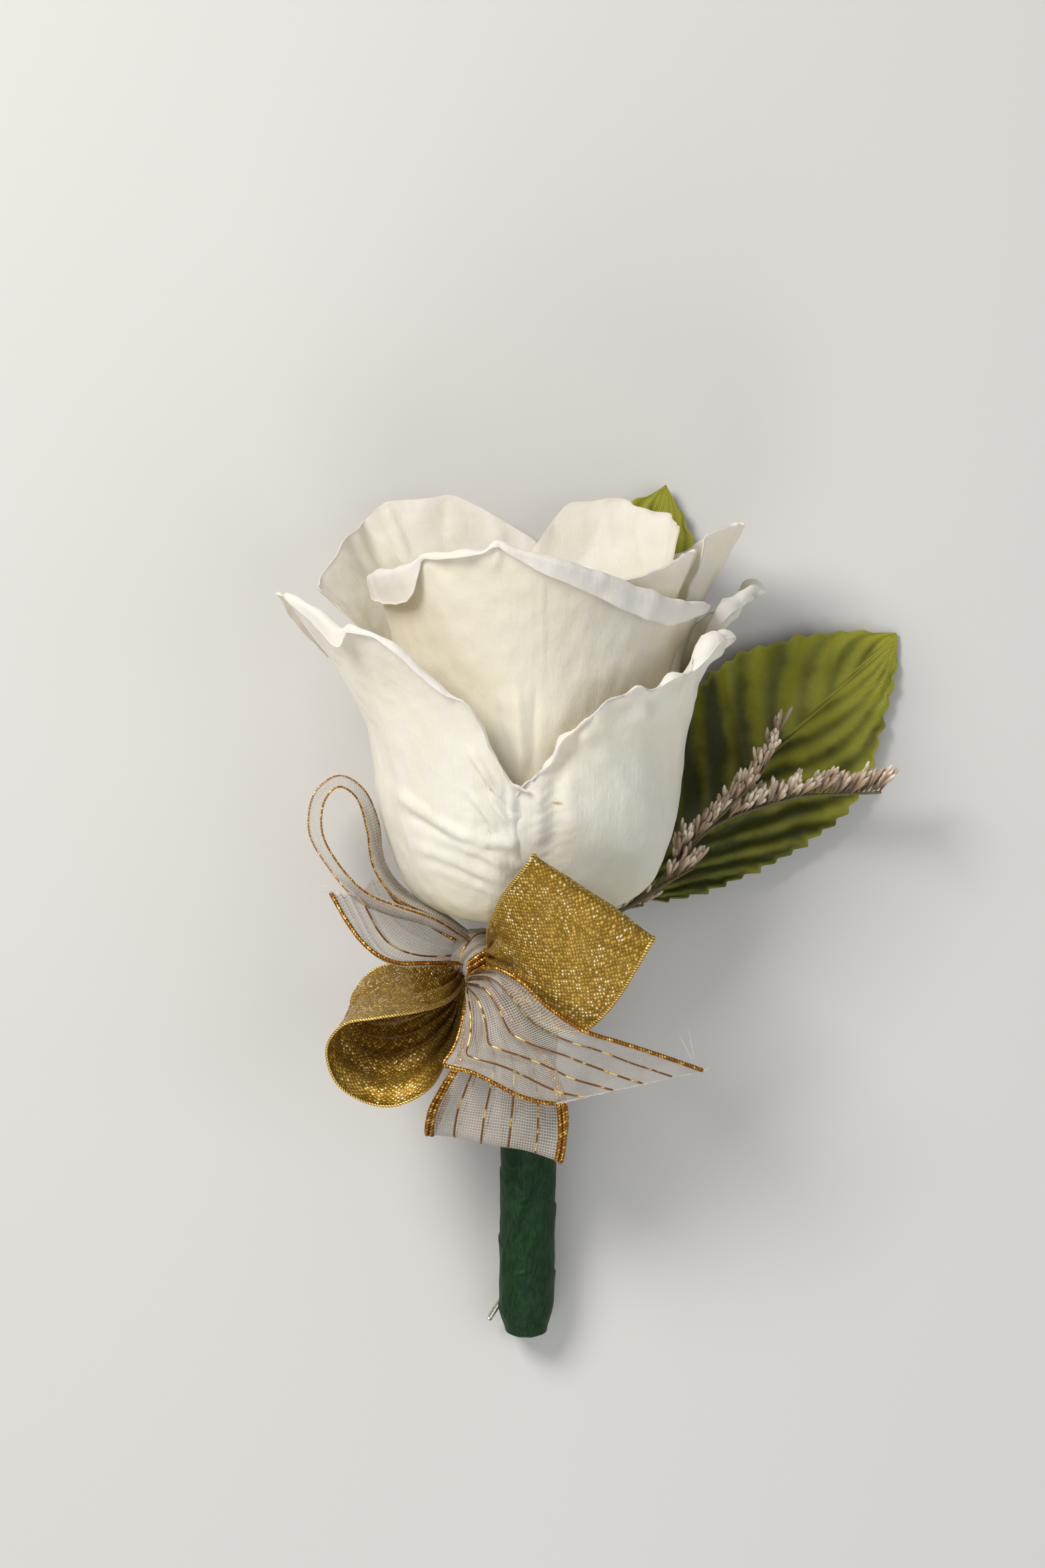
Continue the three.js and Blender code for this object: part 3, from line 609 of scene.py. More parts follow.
satin = Finish(
    "leaf_satin", specular_ior_level=0.2, sheen_weight=0.1, sheen_roughness=0.35,
    sheen_tint=(0.7, 0.75, 0.1),
)
satin_cloth = satin.cloth()
satin_across, satin_along = satin_cloth.part("X"), satin_cloth.part("Y")
satin_twill = (satin_across * 21).ripple()
satin_threads = (satin_along * 19).ripple()
satin_weave = satin_twill * 0.6 + satin_threads * 0.4
satin_half = satin_cloth.part("Z")
satin_shade = satin.noise(satin_cloth, (0.16, 0.16, 0.16), 3.0)
satin_up = satin_along * (1 / leaf_length)
left_phase = (satin_up - satin_half * lean_left) * veins_left
right_phase = (satin_up - satin_half * lean_right) * veins_right + right_vein_start
satin_phase = left_phase + (right_phase - left_phase) * satin_across.between(-0.6, 0.6)
# Painted light and shade: the satin's colour is lighter on the pleats' crests and towards the tip, where
# light catches it, and darker in the pleats' hollows and near the base, with a random mottle.
satin_pleat = (satin_phase * (2 * np.pi) + np.pi / 2 + satin_shade * 2.0).ripple()
satin_painted_light = satin_pleat * 0.4 + satin_shade * 0.9 + satin_along.between(18, 54) * 0.6
satin_painted_light = (satin_painted_light - 0.55).between(0.0, 1.0)
satin_base = satin.mix(satin_painted_light, (0.036, 0.040, 0.003), (0.26, 0.255, 0.016))
# Painted sheen: where the satin is painted lit, the threads of its weave are painted lighter still.
satin_painted_sheen = satin.mix(satin_weave * satin_painted_light * 0.5, satin_base, (0.50, 0.49, 0.07))
satin_edge = satin_half.between(0.94, 1.0)
satin.set(
    base_color=satin.mix(satin_edge * 0.25, satin_painted_sheen, (0.42, 0.42, 0.07)),
    roughness=0.50 - 0.16 * satin_weave,
    normal=satin.bump(satin_weave, 0.03),
)
moulded = Finish("leaf_stalk_moulded", roughness=0.4, subsurface_weight=0.05, subsurface_scale=0.001)
moulded_grain = moulded.noise(moulded.place(), (1800, 300, 1800))
moulded.set(
    base_color=moulded.mix(moulded_grain, (0.07, 0.13, 0.02), (0.16, 0.25, 0.055)),
    roughness=0.32 + 0.2 * moulded_grain,
    normal=moulded.bump(moulded_grain, 0.06),
)


def from_tape(angle, deepest):
    """How a stalk runs inside the tape and bends away over its mouth, clear of the rose's hip."""
    heights = deepest, (deepest + stem_mouth) / 2, stem_mouth - 0.6
    seats = [(bundle_radius, height) for height in heights] + [(3.2, -2.9), (4.3, -2.2), (6, -1.9)]
    return [by_stem(distance, angle, height) for distance, height in seats]


def under_blade(leaf, along):
    """A place under the middle of a blade, where its midrib runs."""
    place, _ = leaf_places(leaf, np.array([along]), np.array([0.0]))
    return place[0] - [0, 0, midrib_below]


for name, leaf in leaf_cuts.items():
    along = np.linspace(0.012, 0.999, leaf_teeth * rows_a_tooth)[:, None] + np.zeros(leaf_columns)
    side = np.sin(np.linspace(-0.5, 0.5, leaf_columns) * np.pi) + 0 * along
    middle, offset = leaf_places(leaf, along, side)
    length = np.linalg.norm(np.subtract(leaf["tip"], leaf["base"]))
    flat = as_places(offset, along * length, np.abs(side)).reshape(-1, 3)
    cut = [thick_sheet(middle, leaf_thickness)]
    blade = new_piece(f"leaf_{name}_satin", cut, satin, f"leaf_{name}_blade", [flat, flat])
    area = (np.ptp(offset, axis=1) * length / len(offset)).sum()
    length / 1000
    area / 1e6

right_stalk = from_tape(angle=128, deepest=-57) + [[7.6, -1.4, 11.4], [10.8, -0.4, 6.8]]
right_stalk += [under_blade(leaf_cuts["right"], along) for along in (0.02, 0.2, 0.45)]
top_stalk = from_tape(angle=185, deepest=-57)
top_stalk += [[0.2, 0.8, 8.6], [0.8, 3.4, 2.6], [1.2, 6.4, 0.6], [1.6, 10.2, 0.46]]
for name, stalk in (("right", right_stalk), ("top", top_stalk)):
    line = path_through(stalk, 160)
    tapered = midrib_radius - 0.2 * smooth(0.75, 1, np.linspace(0, 1, len(line)))
    midrib = rod(line, tapered, midrib_sides)
    new_piece(f"leaf_{name}_midrib", [midrib], moulded, f"leaf_{name}_stalk")


# The bloom: a preserved ivory rose. Its petals leave the foot flat, bend up into the cup, and lean out or
# roll over at their margins. Each is a thing of its own, thin at its edge, and yellower at the foot.
rose_axes = foot_frame(tilt=9, turn=0)
rose_depth_share = 0.92
rose_lies = 1.6
outermost = 24.5
petal_root = 3
petal_foot_height = 0.4
lean_spread = 1.3
fold_sharpness = 1.3
petal_cut_apart = 60
lip_rows = 14
longest_petal = 84
petal_thickness = 0.46

# turn and span are degrees round the bloom, and ends the shares of the span that are made. drop, square,
# lopside and apex shape the margin in its flat cut. margin is the line that it shows from above, which the
# length is fitted to between the shares in solved. lip is how far it rolls over, by where it shows, and
# lip_turn by how many degrees. flare leans the sides out further, and tuck sinks one. folds are ridges
# pressed into the petal, as ends, width and height. A crumple is a patch of creases: middle, reach, height.
plain_petal = {
    "span": 74, "ends": (-0.98, 0.98), "columns": 60, "rows": 48, "drop": 0.2, "square": 8, "lopside": 0,
    "apex": 0, "apex_width": 0.2, "apex_side": 0, "solved": (-1, 1), "lean": 0, "flare": (0, 0),
    "lip": [(0, 0.8)], "lip_turn": 30, "lip_bend": 2, "ruffle": 0.15, "wave": 0.25, "seam": 0.8,
    "folds": [], "tuck": None, "crumple": None,
    "margin": [
        (-30, 46), (-26, 50), (-20, 53), (-5, 54), (2, 54), (10, 51.5), (20, 47.5), (27, 44), (30, 42),
    ],
}
inner_petal = {"columns": 44, "rows": 38, "lip_turn": 40, "lip": [(0, 2)]}
bud_petal = {"span": 76, "columns": 40, "rows": 36, "wave": 0.15}
shaped_petals = {
    "front_left": {
        "turn": -76, "span": 78, "radius": 24.5, "length": 60, "square": 10, "apex": 11, "lean": 38,
        "ends": (-0.98, 0.95), "solved": (-0.1, 1), "columns": 156, "rows": 112, "lip_turn": 150,
        "lip_bend": 1.5, "seam": 2.2, "tuck": (0.76, 0.9), "crumple": ((-6.4, 14.0), (5.0, 9.0), 0.3),
        "lip": [
            (-38, 1.0), (-35.5, 2.8), (-31.5, 4.2), (-29.4, 3.6), (-28.2, 2.0), (-24, 1.5), (-18, 2.1),
            (-12, 1.5), (-8, 1.2), (-2, 1.0),
        ],
        "margin": [
            (-37.8, 49.7), (-35.5, 49.0), (-32.2, 47.0), (-29.4, 44.6), (-28.4, 45.2), (-24, 43.6),
            (-20.7, 41.7), (-18.1, 39.4), (-15.4, 36.6), (-12.8, 34.3), (-9.8, 33.2), (-8.2, 30.1),
            (-6.9, 26.8), (-4.9, 22.8), (-3.2, 19.7), (-1.2, 18.2),
        ],
        "folds": [
            ((-20.5, 18.6), (-14.8, 14.4), 1.0, 0.5), ((-14.8, 14.4), (-8.5, 11.4), 1.0, 0.65),
            ((-8.5, 11.4), (-2.2, 10.4), 0.9, 0.5), ((-19.5, 15.6), (-10.5, 10.2), 0.8, -0.4),
            ((-14.8, 12.0), (-1.9, 7.0), 0.8, 0.4), ((-18.1, 10.7), (-3.0, 4.4), 0.9, 0.35),
            ((-16.6, 7.8), (-6.0, 3.2), 0.9, 0.25), ((-9.6, 25.6), (-6.4, 20.4), 0.75, 0.4),
            ((-7.8, 22.4), (-4.1, 17.2), 0.7, 0.45), ((-6.6, 18.2), (-3.0, 13.0), 0.65, 0.4),
            ((-9.6, 18.8), (-5.4, 13.6), 0.8, 0.35), ((-4.4, 12.8), (-2.1, 8.4), 0.8, 0.22),
            ((-8.7, 22.8), (-5.4, 17.6), 0.55, -0.35), ((-5.6, 19.4), (-3.2, 15.0), 0.5, -0.3),
            ((-8.4, 16.6), (-6.0, 12.4), 0.6, -0.2), ((-3.4, 21.5), (-2.6, 8.0), 0.7, 0.4),
            ((-31.5, 45.0), (-28.6, 37.5), 0.9, -0.35), ((-35.4, 47.0), (-31.6, 39.0), 0.8, 0.25),
            ((-26.6, 30.5), (-21.5, 19.0), 2.4, -0.35), ((-13.5, 33.0), (-10.5, 24.0), 2.0, -0.3),
        ],
    },
    "front_right": {
        "turn": 78, "span": 102, "radius": 23.4, "length": 54, "drop": 0.38, "square": 12, "apex": 5,
        "lean": 34, "solved": (-1, 0.06), "columns": 150, "rows": 110, "lip_turn": 120, "lip_bend": 1.6,
        "ruffle": 0.68, "seam": 2.5, "crumple": ((2.6, 16.0), (2.6, 9.0), 0.16),
        "lip": [
            (-10, 0.1), (-4, 0.1), (-2.5, 0.8), (0, 1.9), (3, 2.2), (9, 1.3), (16, 1.0), (22, 1.7),
            (26, 2.4), (33, 1.4),
        ],
        "margin": [
            (-10, 3), (-5, 10), (-2.7, 17.2), (-1.6, 19.8), (1.0, 22.6), (5.0, 26.6), (8.6, 30.3),
            (10.4, 33.0), (12.4, 34.2), (14.6, 34.0), (16.2, 34.9), (19.2, 35.4), (22.8, 37.6),
            (25.4, 39.5), (27.1, 42.0), (28.4, 43.9), (29.7, 43.4), (31.4, 42.2), (33.2, 42.0),
        ],
        "folds": [
            ((1.0, 20.4), (1.2, 9.5), 1.1, 0.45), ((3.6, 22.5), (3.4, 8.5), 1.3, -0.4),
            ((5.6, 24.0), (6.2, 11.0), 1.5, 0.3), ((-0.8, 20.6), (1.6, 24.4), 0.9, 0.4),
            ((27.6, 43.0), (25.6, 33.0), 0.9, -0.4), ((30.2, 43.0), (28.2, 34.0), 0.7, 0.35),
            ((9.6, 32.0), (12.6, 22.0), 2.4, 0.25), ((20.5, 34.5), (20.0, 15.0), 3.0, -0.25),
            ((14.0, 8.0), (21.5, 14.5), 1.6, 0.25),
        ],
    },
    "outer_back_right": {
        "turn": 112, "span": 38, "radius": 22.2, "length": 57, "drop": 0.4, "apex": 8, "lean": 44,
        "lip_turn": 120, "lip": [(26, 1.6), (31, 3.4), (34, 2.4)], "ruffle": 1.0, "columns": 80, "rows": 70,
        "solved": (-0.9, 0.1),
        "margin": [
            (18, 44), (24, 46.4), (26.7, 47.8), (30, 48.8), (32.0, 50.6), (33.4, 51.3), (34.6, 50.5),
        ],
    },
    "outer_back": {
        "turn": 186, "span": 56, "radius": 21, "length": 60, "drop": 0.3, "lean": 44, "flare": (4, 22),
        "rows": 44, "lip_turn": 60, "lip": [(0, 1.6)], "ruffle": 0.3,
    },
    "pointed_right": {
        "turn": 110, "span": 38, "radius": 20.9, "length": 64, "drop": 0.3, "apex": 8, "apex_width": 0.3,
        "lean": 29, "apex_side": -0.3, "solved": (-1, 0.6), "columns": 84, "rows": 64, "lip_turn": 45,
        "lip": [(18, 1.2), (30, 0.8)], "ruffle": 0.2,
        "margin": [
            (10, 50.5), (18.5, 53.4), (21.5, 54.6), (24.8, 56.4), (28.1, 58.7), (31.0, 59.6), (32.5, 59.8),
        ],
        "folds": [((22.6, 55.0), (24.2, 49.5), 0.8, -0.35), ((26.6, 57.5), (25.4, 50.5), 1.0, 0.4)],
    },
    "pointed_fold": {
        "turn": 64, "span": 42, "radius": 18.8, "length": 60, "lean": 22, "columns": 70, "rows": 60,
        "lip_turn": 50, "lip": [(18, 1.4), (28, 0.8)], "ruffle": 0.2,
        "margin": [
            (4, 49.0), (12, 50.5), (16.5, 51.7), (19.2, 52.8), (22.0, 54.7), (24.6, 55.5), (26.9, 56.0),
            (28, 53),
        ],
    },
    "tall_back_left": {
        "turn": -134, "span": 51, "flare": (17, 26), "radius": 19.8, "length": 71, "drop": 0.12, "lean": 39,
        "columns": 100, "rows": 64, "lip_turn": -40, "lip": [(0, 1.0)], "ruffle": 0.25,
        "margin": [
            (-33.5, 46), (-32.6, 49.8), (-32.2, 51.3), (-31.2, 53.2), (-29.3, 56.3), (-26.6, 59.0),
            (-23.3, 62.3), (-22.0, 63.1), (-18.1, 63.2), (-14.3, 63.6), (-13.4, 64.1), (-11.5, 63.8),
            (-8.2, 62.2), (-4.2, 59.9), (-0.9, 57.8), (4, 54), (12, 46),
        ],
        "folds": [
            ((-22.4, 63.2), (-19.2, 55.0), 0.8, -0.5), ((-25.0, 60.5), (-23.0, 54.0), 1.4, 0.35),
            ((-13.4, 63.6), (-13.8, 58.0), 0.6, 0.35),
        ],
    },
    "tall_back_right": {
        "turn": 146, "span": 50, "radius": 18.8, "length": 68, "lean": 19,
        "columns": 90, "rows": 64, "lip_turn": -30, "lip": [(0, 0.9)], "ruffle": 0.3,
        "margin": [
            (-8, 44), (-3, 51.5), (1.7, 57.6), (3.7, 60.6), (5.7, 62.9), (9.0, 63.0), (11.6, 63.4),
            (12.9, 63.6), (15.2, 62.8), (18.2, 61.5), (20.5, 61.1), (22.1, 59.8), (23.4, 58.2),
            (24.4, 56.6), (28, 53),
        ],
        "folds": [((12.4, 62.8), (14.0, 55.0), 1.2, 0.35), ((17.0, 60.5), (17.6, 54.0), 1.0, -0.3)],
    },
    "front_middle": {
        "turn": -1, "span": 86, "radius": 19.4, "length": 69, "drop": 0.14, "lean": 22, "lopside": 0.07,
        "flare": (5, 27), "columns": 170, "rows": 96, "lip_turn": 173, "lip_bend": 2.2, "ruffle": 0.12,
        "wave": 0.18,
        "lip": [
            (-27, 1.4), (-25.8, 3.6), (-24.6, 5.5), (-23.2, 6.5), (-21.4, 6.9), (-19.8, 6.8), (-18.6, 6.0),
            (-17.6, 4.3), (-16.8, 2.6), (-16, 2.1), (-13, 2.0), (-8, 1.6), (-5.5, 2.2), (-3, 2.8), (1, 4.0),
            (5, 4.6), (9, 5.2), (13.6, 5.7), (18, 5.9), (22, 5.8), (24.6, 4.6), (26.2, 2.8), (27.2, 1.2),
        ],
        "margin": [
            (-27.5, 50.6), (-26.0, 52.9), (-23.7, 55.2), (-20.7, 55.9), (-17.4, 56.4), (-14.8, 56.1),
            (-11.5, 56.3), (-7.4, 56.6), (-5.8, 58.2), (-4.8, 58.3), (-3.2, 57.6), (0.4, 57.1), (5.0, 56.1),
            (10.3, 54.8), (15.5, 52.9), (20.8, 51.1), (24.8, 49.5), (27.2, 48.0),
        ],
        "folds": [
            ((1.7, 54.5), (1.7, 36.0), 0.35, 0.12), ((-2.2, 35.0), (-1.5, 22.0), 1.0, 0.4),
            ((-5.2, 33.0), (-3.4, 24.0), 0.9, -0.3), ((0.6, 36.0), (0.2, 22.0), 0.9, -0.3),
            ((-17.5, 55.5), (-10.5, 47.0), 2.6, 0.35), ((-4.8, 57.6), (-5.6, 53.5), 0.6, 0.4),
        ],
    },
    "inner_right": {**inner_petal, "turn": 62, "radius": 16.8, "length": 60, "lean": 4},
    "inner_left": {**inner_petal, "turn": -70, "radius": 15.2, "length": 59, "lean": 2},
    "inner_back": {**inner_petal, "turn": 180, "radius": 13.4, "length": 58},
    "bud_right": {**bud_petal, "turn": 40, "radius": 11.6, "length": 56},
    "bud_left": {**bud_petal, "turn": -90, "radius": 9.8, "length": 54},
}


def shown(places):
    """Where places show from the camera, as millimetres on the level of the bloom's middle."""
    nearer = (camera_place[2] - 20) / (camera_place[2] - places[..., 2])
    return camera_place[:2] + (places[..., :2] - camera_place[:2]) * nearer[..., None]


def kept_up(petal, places, sunk=0.0):
    """Flattens a petal's back where the bloom lies on the table."""
    lowest = rose_lies + (outermost - petal["radius"]) * 0.9 - sunk
    places[..., 2] = np.maximum(places[..., 2], lowest)
    return places


def petal_places(petal, side, along, fold, lip):
    """Places of a petal at distances along its columns, which roll over from fold on, within lip."""
    scale = petal["radius"] / 25
    step = np.diff(along, axis=0)
    middle = along[:-1] + step / 2
    # In degrees from the bloom's axis: flat out at the foot, up round the cup, and out again further up.
    cup = 90 - 70 * smooth(6 * scale, 23 * scale, middle) - 20 * smooth(22 * scale, 40 * scale, middle)
    flare = petal["flare"][0] * smooth(0.3, 1, -side) + petal["flare"][1] * smooth(0.3, 1, side)
    lean = (petal["lean"] * np.exp(-((side / lean_spread) ** 2)) + flare) * smooth(28, 62, middle)
    bend = np.clip(lip, 0.01, petal["lip_bend"])
    roll = petal["lip_turn"] * np.clip((middle - fold) / bend, 0, 1) * np.minimum(1, lip / 1.2)
    heading = np.radians(cup + lean + roll)
    radius = petal_root + so_far(step * np.sin(heading))
    height = petal_foot_height + outermost - petal["radius"] + so_far(step * np.cos(heading))
    wander = petal["seam"] * np.sin(0.75 * along + 2.2 * np.sin(0.31 * along)) * side**9
    turn = np.radians(petal["turn"] + side * petal["span"] + wander)
    places = as_places(radius * np.sin(turn), height, radius * np.cos(turn) * rose_depth_share)
    return kept_up(petal, places @ rose_axes.T + rose_foot)


def petal_fold(petal, side):
    """How far up each column of a petal its margin is."""
    outline = (1 - petal["drop"] * side**2) * np.sqrt(1 - np.abs(side) ** petal["square"])
    outline = outline * (1 - petal["lopside"] * side)
    apex = petal["apex"] * np.exp(-(((side - petal["apex_side"]) / petal["apex_width"]) ** 2))
    fold = petal["length"] * outline + apex
    trial = np.linspace(0, longest_petal, 700)[:, None] + 0 * side
    seen = shown(petal_places(petal, side, trial, trial[-1], 1))
    over = seen[..., 1] > read_off(petal["margin"], seen[..., 0])
    crossing = np.where(over.any(axis=0), trial[over.argmax(axis=0), 0], fold)
    first, last = petal["solved"]
    inside = smooth(first - 0.02, first + 0.001, side) * (1 - smooth(last - 0.001, last + 0.02, side))
    met = fold * np.interp(np.clip(side, first, last), side, crossing / fold)
    return inside * crossing + (1 - inside) * met


def petal_relief(petal, places, share, side, seed):
    """How far a petal's skin stands out from its plain form."""
    seen = shown(places)
    relief = petal["wave"] * soft_noise(places, 11, seed) * smooth(0.1, 0.4, share)
    relief += 0.09 * soft_noise(places, 3.6, seed + 50) * smooth(0.1, 0.3, share)
    ruffle = np.sin(side * petal["span"] * 0.42 + 2.0 * np.sin(side * 7 + seed))
    ruffle = ruffle + soft_noise(places, 4, seed + 90)
    relief += petal["ruffle"] * ruffle * smooth(0.82, 1.02, share) * smooth(0.1, 0.2, 1 - np.abs(side))
    in_front = smooth(-2, 6, places[..., 2] - rose_foot[2])
    if petal["tuck"]:
        relief -= petal["tuck"][1] * smooth(petal["tuck"][0], 0.95, side) * smooth(0.15, 0.3, share)
    if petal["crumple"]:
        middle, reach, height = petal["crumple"]
        patch = np.exp(-((((seen - middle) / reach) ** 2).sum(axis=-1))) * in_front
        slanted = places @ np.array([[1, 0.35, 0], [-0.3, 1.9, 0], [0, 0, 1]]).T
        ridges = 1 - 2 * np.abs(soft_noise(slanted, 3.8, seed + 130))
        relief += height * patch * (0.8 * ridges + 0.35 * soft_noise(slanted, 2.4, seed + 140))
    facing = in_front if "front" in petal["name"] else 1
    for start, end, width, height in petal["folds"]:
        t, off = beside_line(seen, start, end)
        taper = smooth(0, 0.2, t) * (1 - smooth(0.75, 1, t))
        ridge = fold_sharpness * height * np.exp(-((off * fold_sharpness / width) ** 2))
        relief += ridge * (0.25 + 0.75 * taper) * facing
    return relief


petal_skin = Finish(
    "petal_skin", roughness=0.6, subsurface_weight=0.35, subsurface_radius=(1.0, 0.76, 0.42),
    subsurface_scale=0.0022, specular_ior_level=0.35, sheen_weight=0.12, sheen_roughness=0.5,
)
petal_flat = petal_skin.cloth()
petal_place = petal_skin.place()
petal_up, petal_share = petal_flat.part("Y"), petal_flat.part("Z")
petal_veins = petal_skin.noise(petal_flat, (1.5, 0.05, 0), 3.0, 0.55)
petal_fine = petal_skin.noise(petal_flat, (3.4, 0.5, 0))
petal_mottle = petal_skin.noise(petal_place, 130, 4.0, 0.6)
petal_creped = petal_skin.noise(petal_flat, (0.62, 0.42, 0), 4.0, 0.6)
petal_body = petal_skin.mix(petal_mottle.between(0.35, 0.72), (0.83, 0.78, 0.665), (0.79, 0.73, 0.59))
petal_veined = petal_skin.mix(petal_veins.between(0.52, 0.74) * 0.16, petal_body, (0.70, 0.62, 0.44))
petal_foot = 1 - petal_up.between(4, 26)
petal_across = petal_flat.part("X")
# Painted shade: the front middle petal, sunk behind the rolled margins in front of it, is painted warmer
# and darker over its face.
middle_petal = petal_cut_apart * list(shaped_petals).index("front_middle")
shade_painted_on_middle = petal_across.between(middle_petal - 32, middle_petal - 28)
shade_painted_on_middle = shade_painted_on_middle * (1 - petal_across.between(middle_petal + 28, middle_petal + 32))
petal_with_painted_shade = petal_skin.mix(shade_painted_on_middle * 0.5, petal_veined, (0.74, 0.65, 0.49))
petal_warm = petal_skin.mix(petal_foot * 0.8, petal_with_painted_shade, (0.76, 0.65, 0.34))
petal_color = petal_skin.mix(petal_share.between(0.95, 1.02) * 0.7, petal_warm, (0.84, 0.765, 0.685))
bruise_edge = petal_skin.noise(petal_place, 1500) * 0.0006
bruises = [((3.8, 17.1, 42.6), 1.0), ((5.5, 38.2, 42.8), 0.55), ((13.4, 3.6, 36.5), 0.4)]
for bruise_place, bruise_size in bruises:
    to_bruise = petal_skin.vector("SUBTRACT", petal_place, tuple(in_row(bruise_place)))
    flattened = petal_skin.vector("MULTIPLY", to_bruise, (0.62, 1.5, 0.12))
    away = petal_skin.vector("LENGTH", flattened, output="Value")
    bruised = 1 - (away + bruise_edge).between(bruise_size * 0.0003, bruise_size * 0.0010)
    petal_color = petal_skin.mix(bruised * 0.85, petal_color, (0.42, 0.19, 0.035))
petal_skin.set(
    base_color=petal_color,
    roughness=0.52 + 0.14 * petal_mottle,
    normal=petal_skin.bump(petal_veins * 0.25 + petal_fine * 0.2 + petal_creped * 0.85, 0.18),
)

smoothing = np.array([1, 2, 3, 2, 1]) / 9
for seed, (name, shaped) in enumerate(shaped_petals.items()):
    petal = {**plain_petal, **shaped, "name": name}
    side = np.linspace(*petal["ends"], petal["columns"])
    fold = np.convolve(np.pad(petal_fold(petal, side), 2, mode="edge"), smoothing, mode="valid")
    margin_seen = shown(petal_places(petal, side, np.linspace(0, 1, 80)[:, None] * fold, fold, 1)[-1])
    lip = read_off(petal["lip"], margin_seen[:, 0])
    # A margin that rolls over stands lower by the width of its roll.
    fold = fold - 0.3 * lip * abs(petal["lip_turn"]) / 120
    body = np.linspace(0, 1, petal["rows"])[:, None] * fold
    rolled = fold + np.linspace(0, 1, lip_rows + 1)[1:, None] * lip
    along = np.concatenate([body, rolled])
    places = petal_places(petal, side, along, fold, lip)
    share = along / fold
    skin = petal_relief(petal, places, share, side, seed)
    normal = unit(np.cross(np.gradient(places, axis=0), np.gradient(places, axis=1)))
    outward = places - rose_foot - ((places - rose_foot) @ rose_axes[:, 1])[..., None] * rose_axes[:, 1]
    facing = np.sign((normal * outward)[10:-lip_rows].sum())
    places = kept_up(petal, places + normal * (facing * skin)[..., None], sunk=0.2)
    thickness = petal_thickness - 0.22 * smooth(0.6, 1, share) - 0.08 * smooth(0.8, 1, np.abs(side))
    across = side * np.radians(petal["span"]) * petal["radius"]
    flat = as_places(across + petal_cut_apart * seed, along, share).reshape(-1, 3)
    skin_part = thick_sheet(places, thickness)
    new_piece(f"petal_{name}", [skin_part], petal_skin, "rose_bloom", [flat, flat])

bud_outline = [(0.3, 0.1), (4.2, 0.1), (5, 10), (5.4, 24), (4.6, 40), (2.4, 47), (0.9, 48.4), (0.04, 48.6)]
bud_wrap_rise = 0.8
bud_rings, bud_around = 60, 72


def bud_wraps(angle, height):
    """The last petals, wound round the heart like the tape's laps."""
    lap = np.mod(angle / np.pi + 0.05 * height, 1)
    wound = bud_wrap_rise * lap**2 * (1 - smooth(0.9, 1, lap))
    return wound * smooth(4, 20, height) * (1 - smooth(46.5, 48.5, height))


bud_points, bud_faces = turned(path_through(bud_outline, bud_rings), bud_around, bud_wraps)
bud_flat = as_places(bud_points[:, 0] * 2, bud_points[:, 1], bud_points[:, 1] / 49)
bud_part = (bud_points @ rose_axes.T + rose_foot, bud_faces)
new_piece("petal_bud_heart", [bud_part], petal_skin, "rose_bloom", [bud_flat])


# Dried filler: a thin branching sprig of brown stems, set with slender florets that grow in small bunches,
# brown at the root and pale at their rounded tips. Its stalk goes down into the tape.
sprig_branches = [
    {
        "path": [
            [19.3, 3.6, 12], [24.6, 10.4, 12.6], [30.5, 16, 14], [34.6, 20.2, 15.2], [36.8, 23.4, 16],
            [37.9, 26.6, 17],
        ],
        "buds": 30, "from": 0.15,
    },
    {
        "path": [
            [22.2, 7.4, 12.2], [27.4, 12.6, 12.2], [32, 15, 12.6], [37.5, 16.8, 13], [43.1, 18.2, 13.6],
            [49, 18.4, 14.2], [54.6, 18.7, 15],
        ],
        "buds": 34, "from": 0.3,
    },
    {"path": [[11.5, -0.9, 13.4], [14.5, 0.4, 11.6], [17.6, 1.0, 10.6]], "buds": 5, "from": 0.4},
    {"path": [[18.6, 2.8, 12], [22.4, 5.2, 13.2], [25.2, 6.8, 14.4]], "buds": 6, "from": 0.35},
]
floret_length = 4.3
floret_thickness = 1.2
floret_outline = np.array([
    (0, 0.05), (0.15, 0.12), (0.35, 0.18), (0.55, 0.25), (0.74, 0.29), (0.87, 0.25), (0.96, 0.14),
    (1, 0.04),
])
fingers_a_floret = 7
sprig_sides, finger_sides = 8, 6
sprig_draw = np.random.default_rng(41)


def solid_chance(state):
    """The solids' own little generator, so that the florets stand where the solid buds do."""
    while True:
        state = (state * 1664525 + 1013904223) % 4294967296
        yield state / 4294967296


def floret_finger(root, heading, length, thick):
    bend = unit(sprig_draw.normal(size=3)) * length * 0.06
    line = root + heading * floret_outline[:, :1] * length + bend * floret_outline[:, :1] ** 2
    return rod(line, floret_outline[:, 1] * thick * floret_thickness, finger_sides)


chance = solid_chance(13)
sprig_parts, sprig_flats = [], []


def add_to_sprig(part, kind, shares):
    """kind is 0 for a stem and up to 1 for a pale floret. shares run from its root to its tip."""
    sprig_parts.append(part)
    sides = len(part[0]) // len(shares)
    sprig_flats.append(as_places(kind, np.repeat(shares, sides), 0.0))


